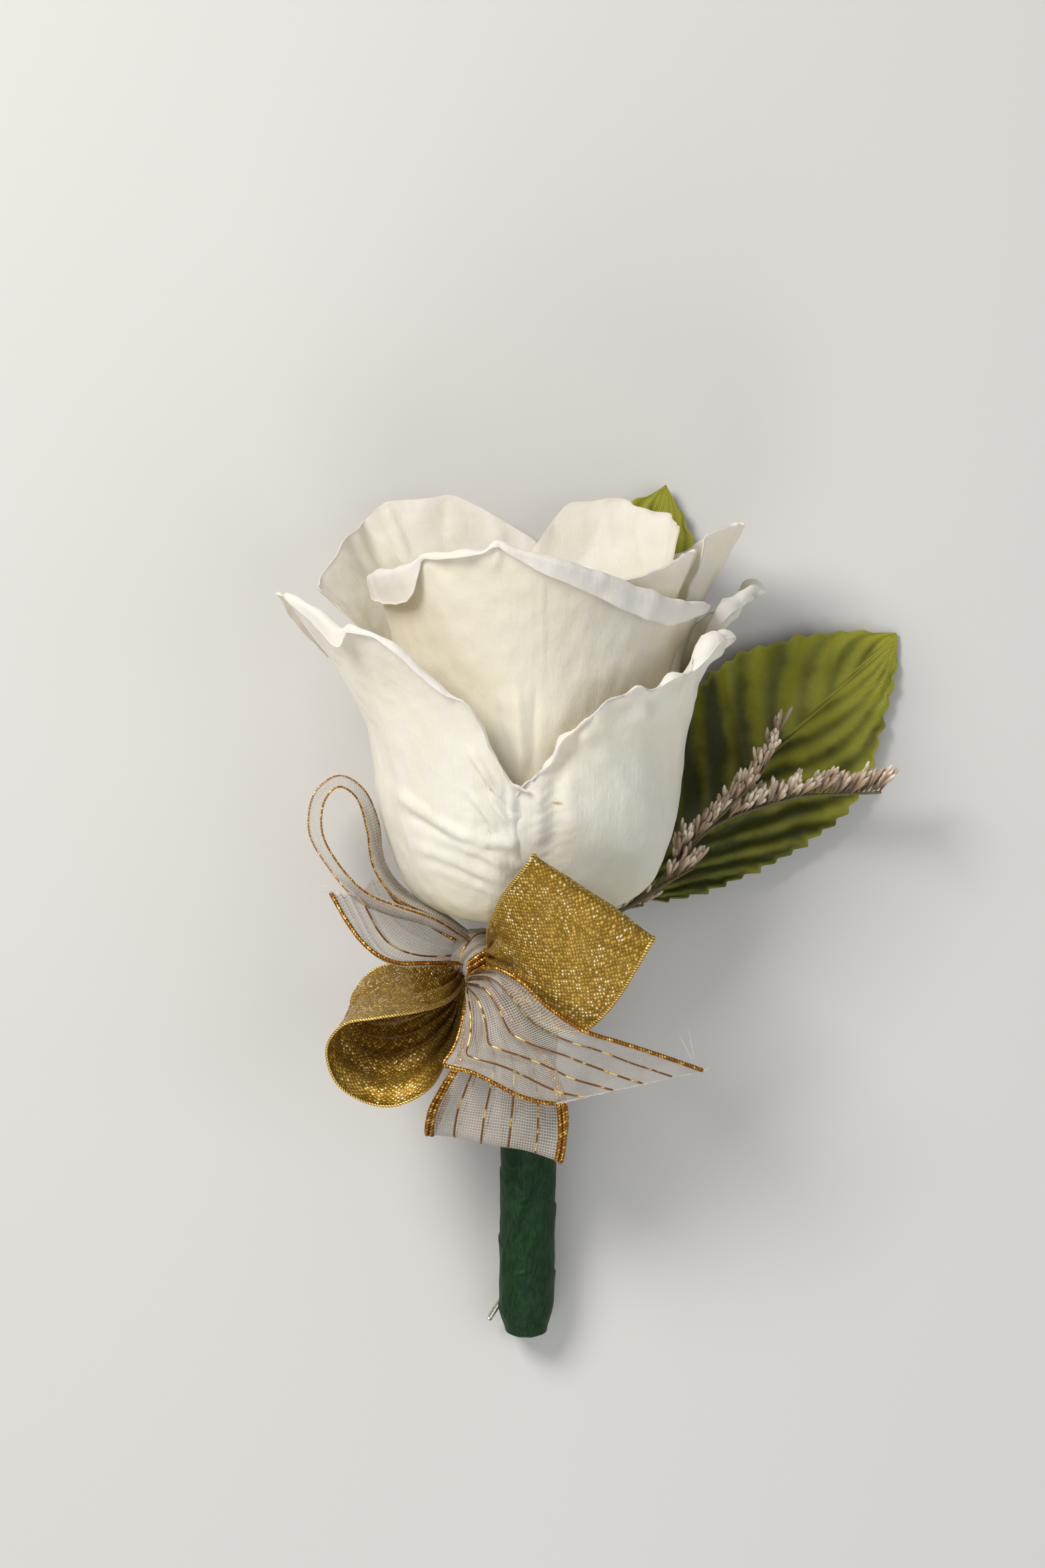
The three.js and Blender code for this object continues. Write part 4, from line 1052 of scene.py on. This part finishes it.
high, low, by_stalk, small = (branch["path"] for branch in sprig_branches)
main_stalk = path_through([*from_tape(75, -26), by_stalk[0], by_stalk[1], high[0]], 90)
side_stalk = path_through([by_stalk[1], small[0], low[0], low[1]], 40)
for line, radius in ((main_stalk, 0.4), (side_stalk, 0.34)):
    add_to_sprig(rod(line, radius, sprig_sides), 0, np.linspace(0, 1, len(line)))
for branch in sprig_branches:
    steps = 12 * len(branch["path"])
    line = path_through(branch["path"], steps)
    tapered = np.linspace(0.36, 0.2, len(line)) + 0.03 * np.sin(np.arange(len(line)) * 1.7)
    add_to_sprig(rod(line, tapered, sprig_sides), 0, np.linspace(0, 1, len(line)))
    headings = unit(np.gradient(line, axis=0))
    for i in range(branch["buds"]):
        along = branch["from"] + (1 - branch["from"]) * (i + 0.5) / branch["buds"]
        spread = np.array([next(chance) * 0.5 - 0.3, 0.75 + 0.3 * next(chance), next(chance) * 1.5 - 0.55])
        at = along * steps
        root = np.array([np.interp(at, np.arange(len(line)), line[:, k]) for k in range(3)])
        heading = unit(headings[int(round(at))] * 0.7 + spread)
        clustered = 0.78 + 0.34 * np.abs(np.sin(0.8 * i + len(branch["path"])))
        length = floret_length * (0.85 + 0.3 * next(chance)) * clustered
        shade = sprig_draw.uniform(0.55, 1)
        for finger in range(fingers_a_floret):
            lean = 0.0 if finger == 0 else sprig_draw.uniform(0.12, 0.34)
            turned_out = unit(heading + lean * unit(np.cross(heading, sprig_draw.normal(size=3))))
            reach = length * (1.1 if finger == 0 else sprig_draw.uniform(0.6, 1.05))
            start = root + heading * length * (0.0 if finger == 0 else sprig_draw.uniform(0.0, 0.26))
            thick = sprig_draw.uniform(0.85, 1.1) * (1.1 if finger == 0 else 1)
            part = floret_finger(start, turned_out, reach, thick)
            add_to_sprig(part, shade * sprig_draw.uniform(0.8, 1.1), floret_outline[:, 0])

dried = Finish(
    "dried_sprig", roughness=0.75, subsurface_weight=0.1, subsurface_scale=0.0006, sheen_weight=0.15
)
dried_flat = dried.cloth()
dried_kind, dried_share = dried_flat.part("X"), dried_flat.part("Y")
dried_grain = dried.noise(dried.place(), (2600, 1500, 2600), 3.0)
dried_body = dried.mix(dried_share.between(0.1, 0.78), (0.10, 0.050, 0.018), (0.62, 0.48, 0.345))
dried_tip = dried.mix(dried_share.between(0.68, 0.95), dried_body, (0.86, 0.76, 0.61))
dried_shaded = dried.mix(dried_kind.between(0.35, 0.95), (0.27, 0.165, 0.09), dried_tip)
dried_stem = dried.mix(dried_grain, (0.06, 0.05, 0.018), (0.15, 0.125, 0.055))
dried_spotted = dried.mix(dried_grain.between(0.5, 0.75) * 0.3, dried_shaded, (0.30, 0.18, 0.09))
dried.set(
    base_color=dried.mix(dried_kind.between(0.01, 0.3), dried_stem, dried_spotted),
    normal=dried.bump(dried_grain, 0.09),
)
new_piece("filler_sprig_florets", sprig_parts, dried, "filler_sprig", sprig_flats)


# Gold lame ribbon, 22 mm wide: metallic cloth woven with small round glittering slubs, and a thick beaded
# selvage along each edge. It is folded into a flat loop at the right and an open loop at the left, and both
# are gathered under the sheer ribbon's knot.
bow_angle = np.radians(-70)
bow_height = -5.9
gather_centre = 8.2
gather_half = 3.7
ribbon_width = 22


def bow_place(distance, round_stem, up):
    """A place in the bow, by how far it is from the stem's axis, round the stem and up it."""
    out_x, out_z = np.sin(bow_angle), np.cos(bow_angle)
    x, z = distance * out_x + round_stem * out_z, distance * out_z - round_stem * out_x
    return along_stem(as_places(x, bow_height + up, z))


def gathered(end, up):
    """Where a gold loop meets the gathers, at their right end for 1 and their left end for -1."""
    return bow_place(gather_centre, gather_half * end, up)


# Each loop's two selvages, from the gathers round and back into them.
gold_loops = {
    "right": [
        [
            gathered(1, 1), [-6.6, -3.6, 29.5], [-6.2, -1.2, 37.4], [-4.0, 3.6, 43.6], [-0.6, 8.0, 47.3],
            [0.2, 9.2, 47.3], [0.3, 9.1, 45.7], [-1.2, 6.8, 44.5], [-5.0, 0.8, 38.2], [-5.8, -2.8, 29.8],
            gathered(1, 0.6),
        ],
        [
            gathered(1, -1), [-4.0, -10.2, 28.4], [0.8, -15.8, 32.4], [7.0, -17.6, 34.6],
            [11.6, -14.0, 37.4], [17.4, -4.6, 42.2], [18.3, -3.1, 41.6], [17.2, -4.8, 39.8],
            [10.8, -13.0, 34.6], [2.0, -12.6, 29.4], gathered(1, -0.6),
        ],
    ],
    "left": [
        [
            gathered(-1, -1), [-11.0, -11.4, 19.4], [-13.4, -13.6, 29], [-17.6, -14.6, 34.6],
            [-23.5, -15.5, 35.4], [-28.6, -16.6, 34], [-31.2, -20.2, 32.2], [-29.9, -25.4, 30.8],
            [-25.8, -28.4, 30.4], [-21.2, -29.1, 31], [-16.2, -26.9, 30.6], [-13.4, -23, 24.4],
            [-11.2, -17, 18.2], gathered(-1, -0.6),
        ],
        [
            gathered(-1, 1), [-12.8, -7.6, 15.8], [-19.6, -8.0, 14.4], [-24.4, -9.0, 14],
            [-27.2, -11.8, 14.2], [-27.6, -14, 14.6], [-25.4, -15.6, 15.2], [-20.4, -15.6, 15.8],
            [-15.2, -14.2, 16.0], [-11.4, -11.4, 15.8], gathered(-1, 0.4),
        ],
    ],
}


def ribbon_run(selvages, rows, columns, swell, folds_across, deepest, seed):
    """A run of ribbon between two selvages, in folds where they come close: its places and flat cut."""
    first, second = (path_through(points, rows) for points in selvages)
    side = second - first
    heading = unit(unit(np.gradient(first, axis=0)) + unit(np.gradient(second, axis=0)))
    normal = unit(np.cross(side, heading))[:, None]
    t = np.linspace(0, 1, rows + 1)[:, None]
    u = np.linspace(0, 1, columns + 1)[None]
    places = first[:, None] + side[:, None] * u[..., None] + normal * swell(t, u)[..., None]
    open_middle = np.minimum(1, 9 * u * (1 - u))
    width = np.linalg.norm(side, axis=1)[:, None]
    spare = np.maximum(0, (0.95 * ribbon_width / width) ** 2 - 1)
    slack = np.sqrt(2 * spare) * width / (2 * np.pi * folds_across)
    waves = np.sin(2 * np.pi * (folds_across * u + 0.3 * np.sin(5 * u + seed)))
    folds = np.minimum(slack, deepest) * waves * open_middle
    away_from_ends = open_middle * smooth(0, 0.12, t) * (1 - smooth(0.88, 1, t))
    folds = folds + 0.22 * soft_noise(places, 9, seed) * away_from_ends
    places = places + normal * folds[..., None]
    along = so_far((step_lengths(first) + step_lengths(second)) / 2)[:, None]
    return places, as_places(u * ribbon_width, along, 0.0)


def bowed(amount):
    """A ribbon's middle stands amount proud of its selvages, most at half its length."""
    return lambda t, u: amount * np.sin(np.pi * t) * 4 * u * (1 - u)


cord_sides = 9
rings_a_turn = 7


def twisted_cord(line, radius, pitch):
    """A cord of two strands along a line: rounds that turn with its twist."""
    length = so_far(step_lengths(line))[-1]
    line = path_through(line[:: max(1, len(line) // 60)], int(length / (pitch / rings_a_turn)))
    angle = all_round(cord_sides)
    along = np.linspace(0, length, len(line))[:, None]
    strands = radius * (0.78 + 0.3 * np.abs(np.cos(angle - 2 * np.pi * along / pitch)))
    strands[[0, -1]] *= 0.5
    return rod(line, strands, cord_sides), as_places(angle, along, strands / radius).reshape(-1, 3)


def lay_cord(parts, flats, line, radius, pitch):
    """Adds a twisted cord to a piece's parts and flats."""
    cord, cord_flat = twisted_cord(line, radius, pitch)
    parts.append(cord)
    flats.append(cord_flat)


def lame(name, cell, deep, bright):
    """Gold cloth: domed slubs cell millimetres apart, each tilted its own way. Only some glitter, and these
    are also painted near-white in the colour.
    """
    gold = Finish(name, metallic=0.6, roughness=0.3, specular_ior_level=0.4)
    laid_out = {"Vector": gold.cloth(), "Rotation": (0, 0, 0.7), "Scale": (1 / cell, 1 / cell, 1)}
    grid = gold.node("ShaderNodeMapping", {}, laid_out)
    slub = {"Vector": grid, "Scale": 1.0, "Randomness": 0.34}
    away, middle, tint = (
        gold.node("ShaderNodeTexVoronoi", {}, slub, given) for given in ("Distance", "Position", "Color")
    )
    from_middle = gold.vector("SUBTRACT", grid, middle)
    lean = gold.vector("SUBTRACT", tint, (0.5, 0.5, 0.5))
    tilt = gold.vector("DOT_PRODUCT", from_middle, lean, output="Value")
    chance = tint.part("X")
    wear = gold.noise(gold.place(), 160, 3.0)
    ground = gold.mix(wear.between(0.35, 0.7), deep, tuple(0.75 * c for c in bright))
    lit = gold.mix(chance.between(0.25, 0.95), ground, bright)
    # Painted glints: a scatter of slubs, thinner in places, is painted near-white gold in the colour, which
    # stands in for their glitter.
    drift = gold.noise(gold.place(), 300).between(0.4, 0.62)
    painted_glints = (chance * (0.5 + 0.5 * drift)).between(0.60, 0.70) * (1 - away.between(0.28, 0.42))
    colored = gold.mix(painted_glints, lit, (1.0, 0.90, 0.55))
    gold.set(
        base_color=gold.mix(away.between(0.2, 0.5) * 0.8, colored, (0.17, 0.085, 0.008)),
        roughness=0.5 - 0.32 * painted_glints - 0.1 * chance,
        normal=gold.bump(tilt * 1.1 + (1 - away.between(0.05, 0.55)) * 0.7, 0.12 * cell / 0.62),
    )
    return gold


gold_cloth = lame("gold_lame", cell=0.52, deep=(0.40, 0.235, 0.022), bright=(0.84, 0.55, 0.10))
gold_selvage = Finish("gold_selvage", metallic=0.85, roughness=0.35)
selvage_strand = gold_selvage.cloth().part("Z")
selvage_glint = gold_selvage.noise(gold_selvage.place(), 1600)
# Painted shade: the grooves between the cord's twisted strands are painted dark brown, and only the
# strands' crests are gold.
gold_selvage.set(
    base_color=gold_selvage.mix(selvage_strand.between(0.84, 1.04), (0.14, 0.07, 0.01), (0.80, 0.55, 0.14)),
    roughness=0.24 + 0.3 * selvage_glint,
    normal=gold_selvage.bump(selvage_glint, 0.12),
)

selvage_radius = {"right": 0.36, "left": 0.22}
gold_swell = {"right": 0.6, "left": -0.8}
gold_rows, gold_columns = 210, 54
gold_thickness = 0.26
gold_cut_apart = 200
gathers_length = 9.0
gold_runs, gold_flats, gold_cords, gold_cord_flats = [], [], [], []
gold_length = gathers_length
for seed, (name, selvages) in enumerate(gold_loops.items()):
    swell = bowed(gold_swell[name])
    places, flat = ribbon_run(
        selvages, gold_rows, gold_columns, swell, folds_across=4.5, deepest=0.65, seed=seed + 20
    )
    gold_runs.append(thick_sheet(places, gold_thickness))
    gold_flats += [(flat + [0, gold_cut_apart * seed, 0]).reshape(-1, 3)] * 2
    gold_length += flat[-1, 0, 1]
    for edge in (0, -1):
        lay_cord(gold_cords, gold_cord_flats, places[2:-2, edge], selvage_radius[name], pitch=0.9)


def blob(distance, sizes, around, rings, relief):
    """A rounded form in the bow, from its half-sizes out from the stem, up it and round it."""
    polar = np.linspace(0.02, np.pi - 0.02, rings)[:, None]
    turn = all_round(around)
    ball = as_places(np.sin(polar) * np.sin(turn), np.sin(polar) * np.cos(turn), np.cos(polar))
    grown = ball * (1 + relief(ball))[..., None]
    out, up, round_stem = (grown[..., axis] * size for axis, size in zip((2, 1, 0), sizes))
    places = bow_place(distance + out, round_stem, up)
    return (places.reshape(-1, 3), tube_faces(rings, around)), ball.reshape(-1, 3)


def gather_pleats(ball):
    return 0.11 * np.cos(9 * np.pi * ball[..., 1] + ball[..., 0])


gather_sizes = (1.2, 2.3, 4.7)
gather, gather_ball = blob(gather_centre, gather_sizes, around=72, rings=40, relief=gather_pleats)
gold_runs.append(gather)
gold_flats.append(gather_ball * [*gather_sizes[:0:-1], 0] + [2 * gold_cut_apart, 2 * gold_cut_apart, 0])
gold_piece = new_piece("gold_ribbon_cloth", gold_runs, gold_cloth, "gold_ribbon", gold_flats)
gold_edge = new_piece(
    "gold_ribbon_selvages", gold_cords, gold_selvage, "gold_ribbon", gold_cord_flats
)
gold_length / 1000


# Sheer ribbon, also 22 mm wide: fine organza net with four lengthwise gold threads and a twisted gold and
# orange cord along each edge. It is tied round the stem over the gold ribbon's gathers, with two loops and
# two cut tails that fray at their corners.
knot_centre = 8.8


def knot_place(out, round_stem, up):
    """A place by the knot, where the sheer ribbon's runs begin."""
    return bow_place(knot_centre + out, round_stem, up)


def cupped(depth):
    """A ribbon bowed like a trough, deepest past half its length."""
    return lambda t, u: depth * np.sin(np.pi * (0.12 + 0.6 * t)) * 4 * u * (1 - u)


# Each run's two selvages, from the knot outwards. cord is the radius of its edge cords, and stripes
# are where its gold threads lie, as shares of its width.
sheer_runs = {
    "upper_loop": {
        "first": [
            knot_place(1, 1.2, 1.8), [-15.0, -0.6, 30.0], [-20.4, 1.4, 32.6], [-24.9, 3.3, 33.6],
            [-29.0, 7.3, 33.0], [-31.9, 12.6, 32], [-31.5, 17.6, 31.4], [-29.4, 19.6, 31.2],
            [-26.8, 18.0, 31], [-25.2, 13.3, 30.6], [-24.2, 7.4, 30], [-21.1, 2.8, 29.2],
            [-15.6, -0.2, 26.6], knot_place(0.6, 1.2, 2.2),
        ],
        "second": [
            knot_place(1, -1.2, 1.8), [-14.6, -1.8, 21.6], [-20.6, -0.5, 20.0], [-26.4, 1.4, 16.4],
            [-31.6, 6.7, 12.6], [-34.9, 12.6, 10.8], [-33.9, 18.8, 10.2], [-30.2, 21.3, 10],
            [-26.5, 19.3, 10.2], [-24.1, 14.2, 10.8], [-23.1, 7.9, 12], [-20.2, 3.7, 14.4],
            [-15.0, 0.4, 17.6], knot_place(0.6, -1.2, 2.2),
        ],
        "swell": bowed(0), "rows": 240, "cord": 0.16, "stripes": (),
    },
    "left_tail": {
        "first": [
            knot_place(1.6, 0.8, -1.2), [-16.3, -7.5, 26.4], [-20.5, -7.4, 28], [-23.6, -6.2, 28],
            [-26.2, -4.0, 27], [-28.6, -0.8, 25.6], [-31, 3.3, 24],
        ],
        "second": [
            knot_place(1.6, 0, 1.2), [-14.4, -2.6, 21.4], [-17.4, -0.6, 22.2], [-19.6, 1.0, 23],
            [-21.2, 2.4, 23.4], [-22.4, 4.2, 23], [-23.2, 6.0, 22.2],
        ],
        "swell": cupped(-5), "rows": 110, "cord": 0.34, "stripes": (0.55,),
    },
    "right_tail": {
        "first": [
            knot_place(1.2, 1.4, -1.4), [-9.6, -9.6, 27.6], [-8.2, -8.4, 31.0], [-5.4, -8.0, 34.0],
            [-1.6, -10.0, 36.2], [2.6, -13.8, 37.4], [7.8, -17.2, 38.2], [13.6, -19.2, 36.6],
            [19.3, -21.2, 33.4], [26.2, -23.8, 29.6],
        ],
        "second": [
            knot_place(1.2, 1, -2), [-10.4, -15.6, 28.2], [-11.8, -20.2, 29.6], [-13.4, -22.8, 30.4],
            [-12.4, -23.2, 31.2], [-9.2, -23.9, 32.2], [-5.6, -25.6, 32.8], [-2.0, -27.4, 33],
            [1.4, -28.4, 32.8], [3.6, -28.7, 32.4],
        ],
        "swell": bowed(-0.6), "rows": 150, "cord": 0.34, "stripes": (0.2, 0.4, 0.6, 0.8),
    },
    "lower_loop": {
        "first": [
            knot_place(0.6, 1, -2.2), [-10.6, -16, 25.4], [-11.3, -22.4, 26], [-13.6, -26.4, 25.2],
            [-15.6, -30.2, 24], [-16.2, -33.4, 23], [-16.1, -34.2, 22], [-15.6, -33.2, 20.8],
            [-13.8, -29, 21.2], [-11.6, -24, 22.6], [-9.6, -16, 22.8], knot_place(0.4, 0.4, -2.4),
        ],
        "second": [
            knot_place(0, 1.2, -2.2), [-3.6, -15.6, 26.4], [2.4, -22.4, 27.2], [4.6, -28.7, 25.6],
            [5.1, -34, 24.4], [4.7, -37.6, 23.8], [4.5, -38.4, 22.8], [4.6, -37.2, 21.6], [5.4, -32, 22.2],
            [4.2, -26, 22.8], [-3.0, -15.6, 22.6], knot_place(-0.2, 0.6, -2.4),
        ],
        "swell": bowed(0.5), "rows": 200, "cord": 0.36, "stripes": (0.2, 0.4, 0.6, 0.8),
    },
}


def organza(name, cover):
    """Fine net of grey white nylon. cover is how much of it the threads hide between their crossings."""
    net = Finish(name, roughness=0.32, specular_ior_level=0.7, sheen_weight=0.3, sheen_roughness=0.3)
    cut = net.cloth()
    across = (cut.part("X") * (2 * np.pi / 0.42)).ripple()
    along = (cut.part("Y") * (2 * np.pi / 0.46)).ripple()
    threads = (across**4 * 0.8).most(along**4)
    crossings = across**4 * along**4
    # Painted sparkle: a scatter of thread crossings is painted near white, standing in for the nylon's
    # glints.
    painted_sparks = net.noise(cut, (2.2, 2.6, 0)).between(0.62, 0.72)
    shade = net.noise(net.place(), 180, 3.0)
    body = net.mix(shade.between(0.3, 0.7), (0.36, 0.315, 0.265), (0.56, 0.51, 0.44))
    shining = net.mix(painted_sparks * crossings, body, (1.0, 0.96, 0.86))
    net.set(
        base_color=net.mix(threads * 0.5, shining, (0.68, 0.63, 0.56)),
        alpha=cover + (0.97 - cover) * threads,
        roughness=0.38 - 0.16 * crossings,
        normal=net.bump(threads, 0.05),
    )
    return net


net_cloth = organza("organza_net", cover=0.26)
net_gathered = organza("organza_gathered", cover=0.85)
foil = Finish("foil_thread", metallic=0.9, roughness=0.3)
foil_flat = foil.cloth()
# Painted glints and shade: patches along the thread are painted bright gold as glints, and also made
# smoother, and the grooves between the twisted strands are painted dark.
foil_glint = foil.noise(foil_flat, (0.4, 1.1, 0), 3.0)
foil_color = foil.mix(foil_glint.between(0.46, 0.62), (0.34, 0.13, 0.014), (0.92, 0.58, 0.13))
foil.set(
    base_color=foil.mix(foil_flat.part("Z").between(0.8, 1.05), (0.13, 0.045, 0.006), foil_color),
    roughness=0.42 - 0.24 * foil_glint.between(0.5, 0.65),
    normal=foil.bump(foil.noise(foil.place(), 2600), 0.1),
)

stripe = Finish("stripe_thread", metallic=0.7, roughness=0.4)
# Painted glints: patches along the dark brown gold threads are painted bright gold, standing in for their
# glints.
stripe_glint = stripe.noise(stripe.place(), (500, 500, 500))
stripe.set(
    base_color=stripe.mix(stripe_glint.between(0.5, 0.62), (0.22, 0.08, 0.010), (0.95, 0.66, 0.20)),
    roughness=0.5 - 0.3 * stripe_glint.between(0.5, 0.62),
)

net_parts, net_flats, foil_parts, foil_flats, stripe_parts = [], [], [], [], []
net_columns = 60
net_cut_apart = 120
stripe_radius = 0.15
thread_sides = 5
sheer_length = 0.0
sheer_grids = {}
for seed, (name, run) in enumerate(sheer_runs.items()):
    selvages = run["first"], run["second"]
    places, flat = ribbon_run(
        selvages, run["rows"], net_columns, run["swell"], folds_across=5.5, deepest=0.7, seed=seed + 30
    )
    sheer_grids[name] = places
    net_parts.append((places.reshape(-1, 3), grid_faces(*places.shape[:2])))
    net_flats.append((flat + [0, net_cut_apart * seed, 0]).reshape(-1, 3))
    sheer_length += flat[-1, 0, 1]
    doubled = (2, net_columns - 2) if name == "lower_loop" else ()
    for column in (0, net_columns, *doubled):
        lay_cord(foil_parts, foil_flats, places[2:, column], run["cord"], pitch=1.0)
    for share in run["stripes"]:
        line = places[4:-1, int(round(share * net_columns))]
        stripe_parts.append(rod(line, stripe_radius, thread_sides))


def sheer_part(kind, parts, finish, flats=()):
    return new_piece(f"sheer_ribbon_{kind}", parts, finish, "sheer_ribbon", flats)


sheer_piece = sheer_part("net", net_parts, net_cloth, net_flats)

knot_sizes = (4.3, 4.0, 3.2)


def knot_relief(ball):
    """Wraps round the knot's lower right, as it is seen from in front."""
    across = np.hypot(0.94 * ball[..., 2] - 0.34 * ball[..., 0] + 0.75, ball[..., 1] + 0.75)
    pleats = 0.03 * np.cos(9 * np.pi * across + 1.5 * ball[..., 0])
    outer_groove = 0.16 * np.exp(-(((across - 1.34) / 0.05) ** 2))
    inner_groove = 0.13 * np.exp(-(((across - 0.86) / 0.06) ** 2))
    return pleats - (outer_groove + inner_groove)


knot, knot_ball = blob(knot_centre, knot_sizes, around=96, rings=60, relief=knot_relief)
ring_outline = [
    (5.15, -2.2), (5.7, -2.3), (6.2, -1.8), (6.45, -0.9), (6.5, 0), (6.45, 0.9), (6.2, 1.8), (5.7, 2.3),
    (5.15, 2.2), (5.15, 0), (5.15, -2.2),
]
ring_around = 110


def ring_pleats(angle, height):
    return 0.13 * np.sin(4.2 * (height - bow_height) + 0.6 * np.sin(2 * angle))


ring_line = path_through(ring_outline, 60)[:-1] + [0, bow_height]
ring_points, _ = turned(ring_line, ring_around, ring_pleats)
ring_faces = grid_faces(len(ring_line) + 1, ring_around, True)
ring_faces = [[i % len(ring_points) for i in face] for face in ring_faces]
ring_turn = np.arctan2(ring_points[:, 0], ring_points[:, 2])
ring_flat = as_places(ring_points[:, 1] * 4, ring_turn * 6, 0.0)
ring = (along_stem(ring_points), ring_faces)
sheer_tie = sheer_part("knot", [knot, ring], net_gathered, [knot_ball * [9, 9, 0], ring_flat])


def over_knot(spots, lift=1.1):
    """A line laid over the knot's front through spots, which are shares of its width and height."""
    right, up = path_through(spots, 30).T
    front = np.sqrt(np.maximum(0.02, 1 - right**2 - up**2))
    out, height, towards = np.array(knot_sizes) * lift
    return bow_place(knot_centre - right * out, front * towards, up * height)


# The gold cords that cross the knot, then those along the edges of the ring round the stem.
knot_gold = [
    [(-0.52, -0.14), (-0.15, 0.16), (0.32, 0.30), (0.76, 0.28)],
    [(-0.55, -0.36), (-0.1, -0.04), (0.4, 0.1), (0.84, 0.08)],
    [(-0.48, -0.56), (0.0, -0.24), (0.46, -0.1), (0.88, -0.12)],
    [(-0.32, -0.74), (0.1, -0.44), (0.52, -0.3), (0.86, -0.32)],
    [(-0.1, -0.88), (0.24, -0.64), (0.58, -0.5)],
]
for spots in knot_gold:
    lay_cord(foil_parts, foil_flats, over_knot(spots), radius=0.5, pitch=0.85)
hoop_radius, hoop_up = 5.85, 2.25
for up in (-hoop_up, hoop_up):
    hoop = along_stem(about_stem(np.linspace(0, 2 * np.pi, 80), hoop_radius, bow_height + up))
    lay_cord(foil_parts, foil_flats, hoop, radius=0.36, pitch=1.1)
sheer_edge = sheer_part("selvages", foil_parts, foil, foil_flats)
rim_spots = [(-0.78, -0.62), (-0.86, -0.1), (-0.62, 0.5), (-0.16, 0.86), (0.36, 0.86), (0.76, 0.6)]
rim_cord, _ = twisted_cord(over_knot(rim_spots, lift=1.0), radius=0.16, pitch=0.7)
sheer_stripes = sheer_part("stripes", [*stripe_parts, rim_cord], stripe)

fray_draw = np.random.default_rng(8)
fray_radius = 0.055
fringe_threads = 110
fray_parts = []


def fray(thread, steps=24):
    """A thread that sticks out of a cut edge, thinner at its end."""
    line = path_through(thread, steps)
    fray_parts.append(rod(line, np.linspace(fray_radius, fray_radius * 0.6, len(line)), thread_sides))


long_threads = [
    [[25.1, -23.4, 29.9], [24.2, -21.6, 30.6], [23.2, -19.6, 31.2], [22.3, -17.9, 31.4]],
    [[25.4, -23.5, 29.8], [24.9, -21.9, 30.4], [24.4, -19.8, 30.8], [23.9, -17.4, 31.4]],
    [[26.0, -23.8, 29.6], [26.6, -23.7, 29.9], [27.2, -23.2, 30.3]],
    [[-30.4, 3.2, 24.2], [-32.0, 3.3, 24.6], [-33.4, 3.0, 24.9], [-34.8, 2.7, 25.0]],
    [[-30.2, 3.6, 24.0], [-31.4, 4.2, 24.0], [-32.6, 4.3, 23.8]],
    [[-28.3, -16.2, 34.2], [-29.0, -15.6, 34.8], [-29.6, -15.2, 34.8]],
]
for thread in long_threads:
    fray(thread)
for name in ("left_tail", "right_tail"):
    places = sheer_grids[name]
    ahead = unit(places[-1] - places[-4])
    for share in np.linspace(0.01, 0.99, fringe_threads):
        at = share * net_columns
        column = int(at)
        start = places[-1, column] + (places[-1, column + 1] - places[-1, column]) * (at - column)
        reach = fray_draw.uniform(0.15, 0.42)
        stray = fray_draw.normal(size=3) * 0.3
        ends = [start + (ahead[column] * share + stray * share**2) * reach for share in (0.5, 1)]
        fray([start - ahead[column] * 0.2, *ends], 8)
loose = Finish("loose_threads", roughness=0.45, specular_ior_level=0.6)
loose_shade = loose.noise(loose.place(), 900)
loose.set(
    base_color=loose.mix(loose_shade, (0.52, 0.44, 0.40), (0.86, 0.80, 0.76)),
    normal=loose.bump(loose_shade, 0.05),
)
sheer_fray = sheer_part("fray", fray_parts, loose)
sheer_length / 1000


low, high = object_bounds()
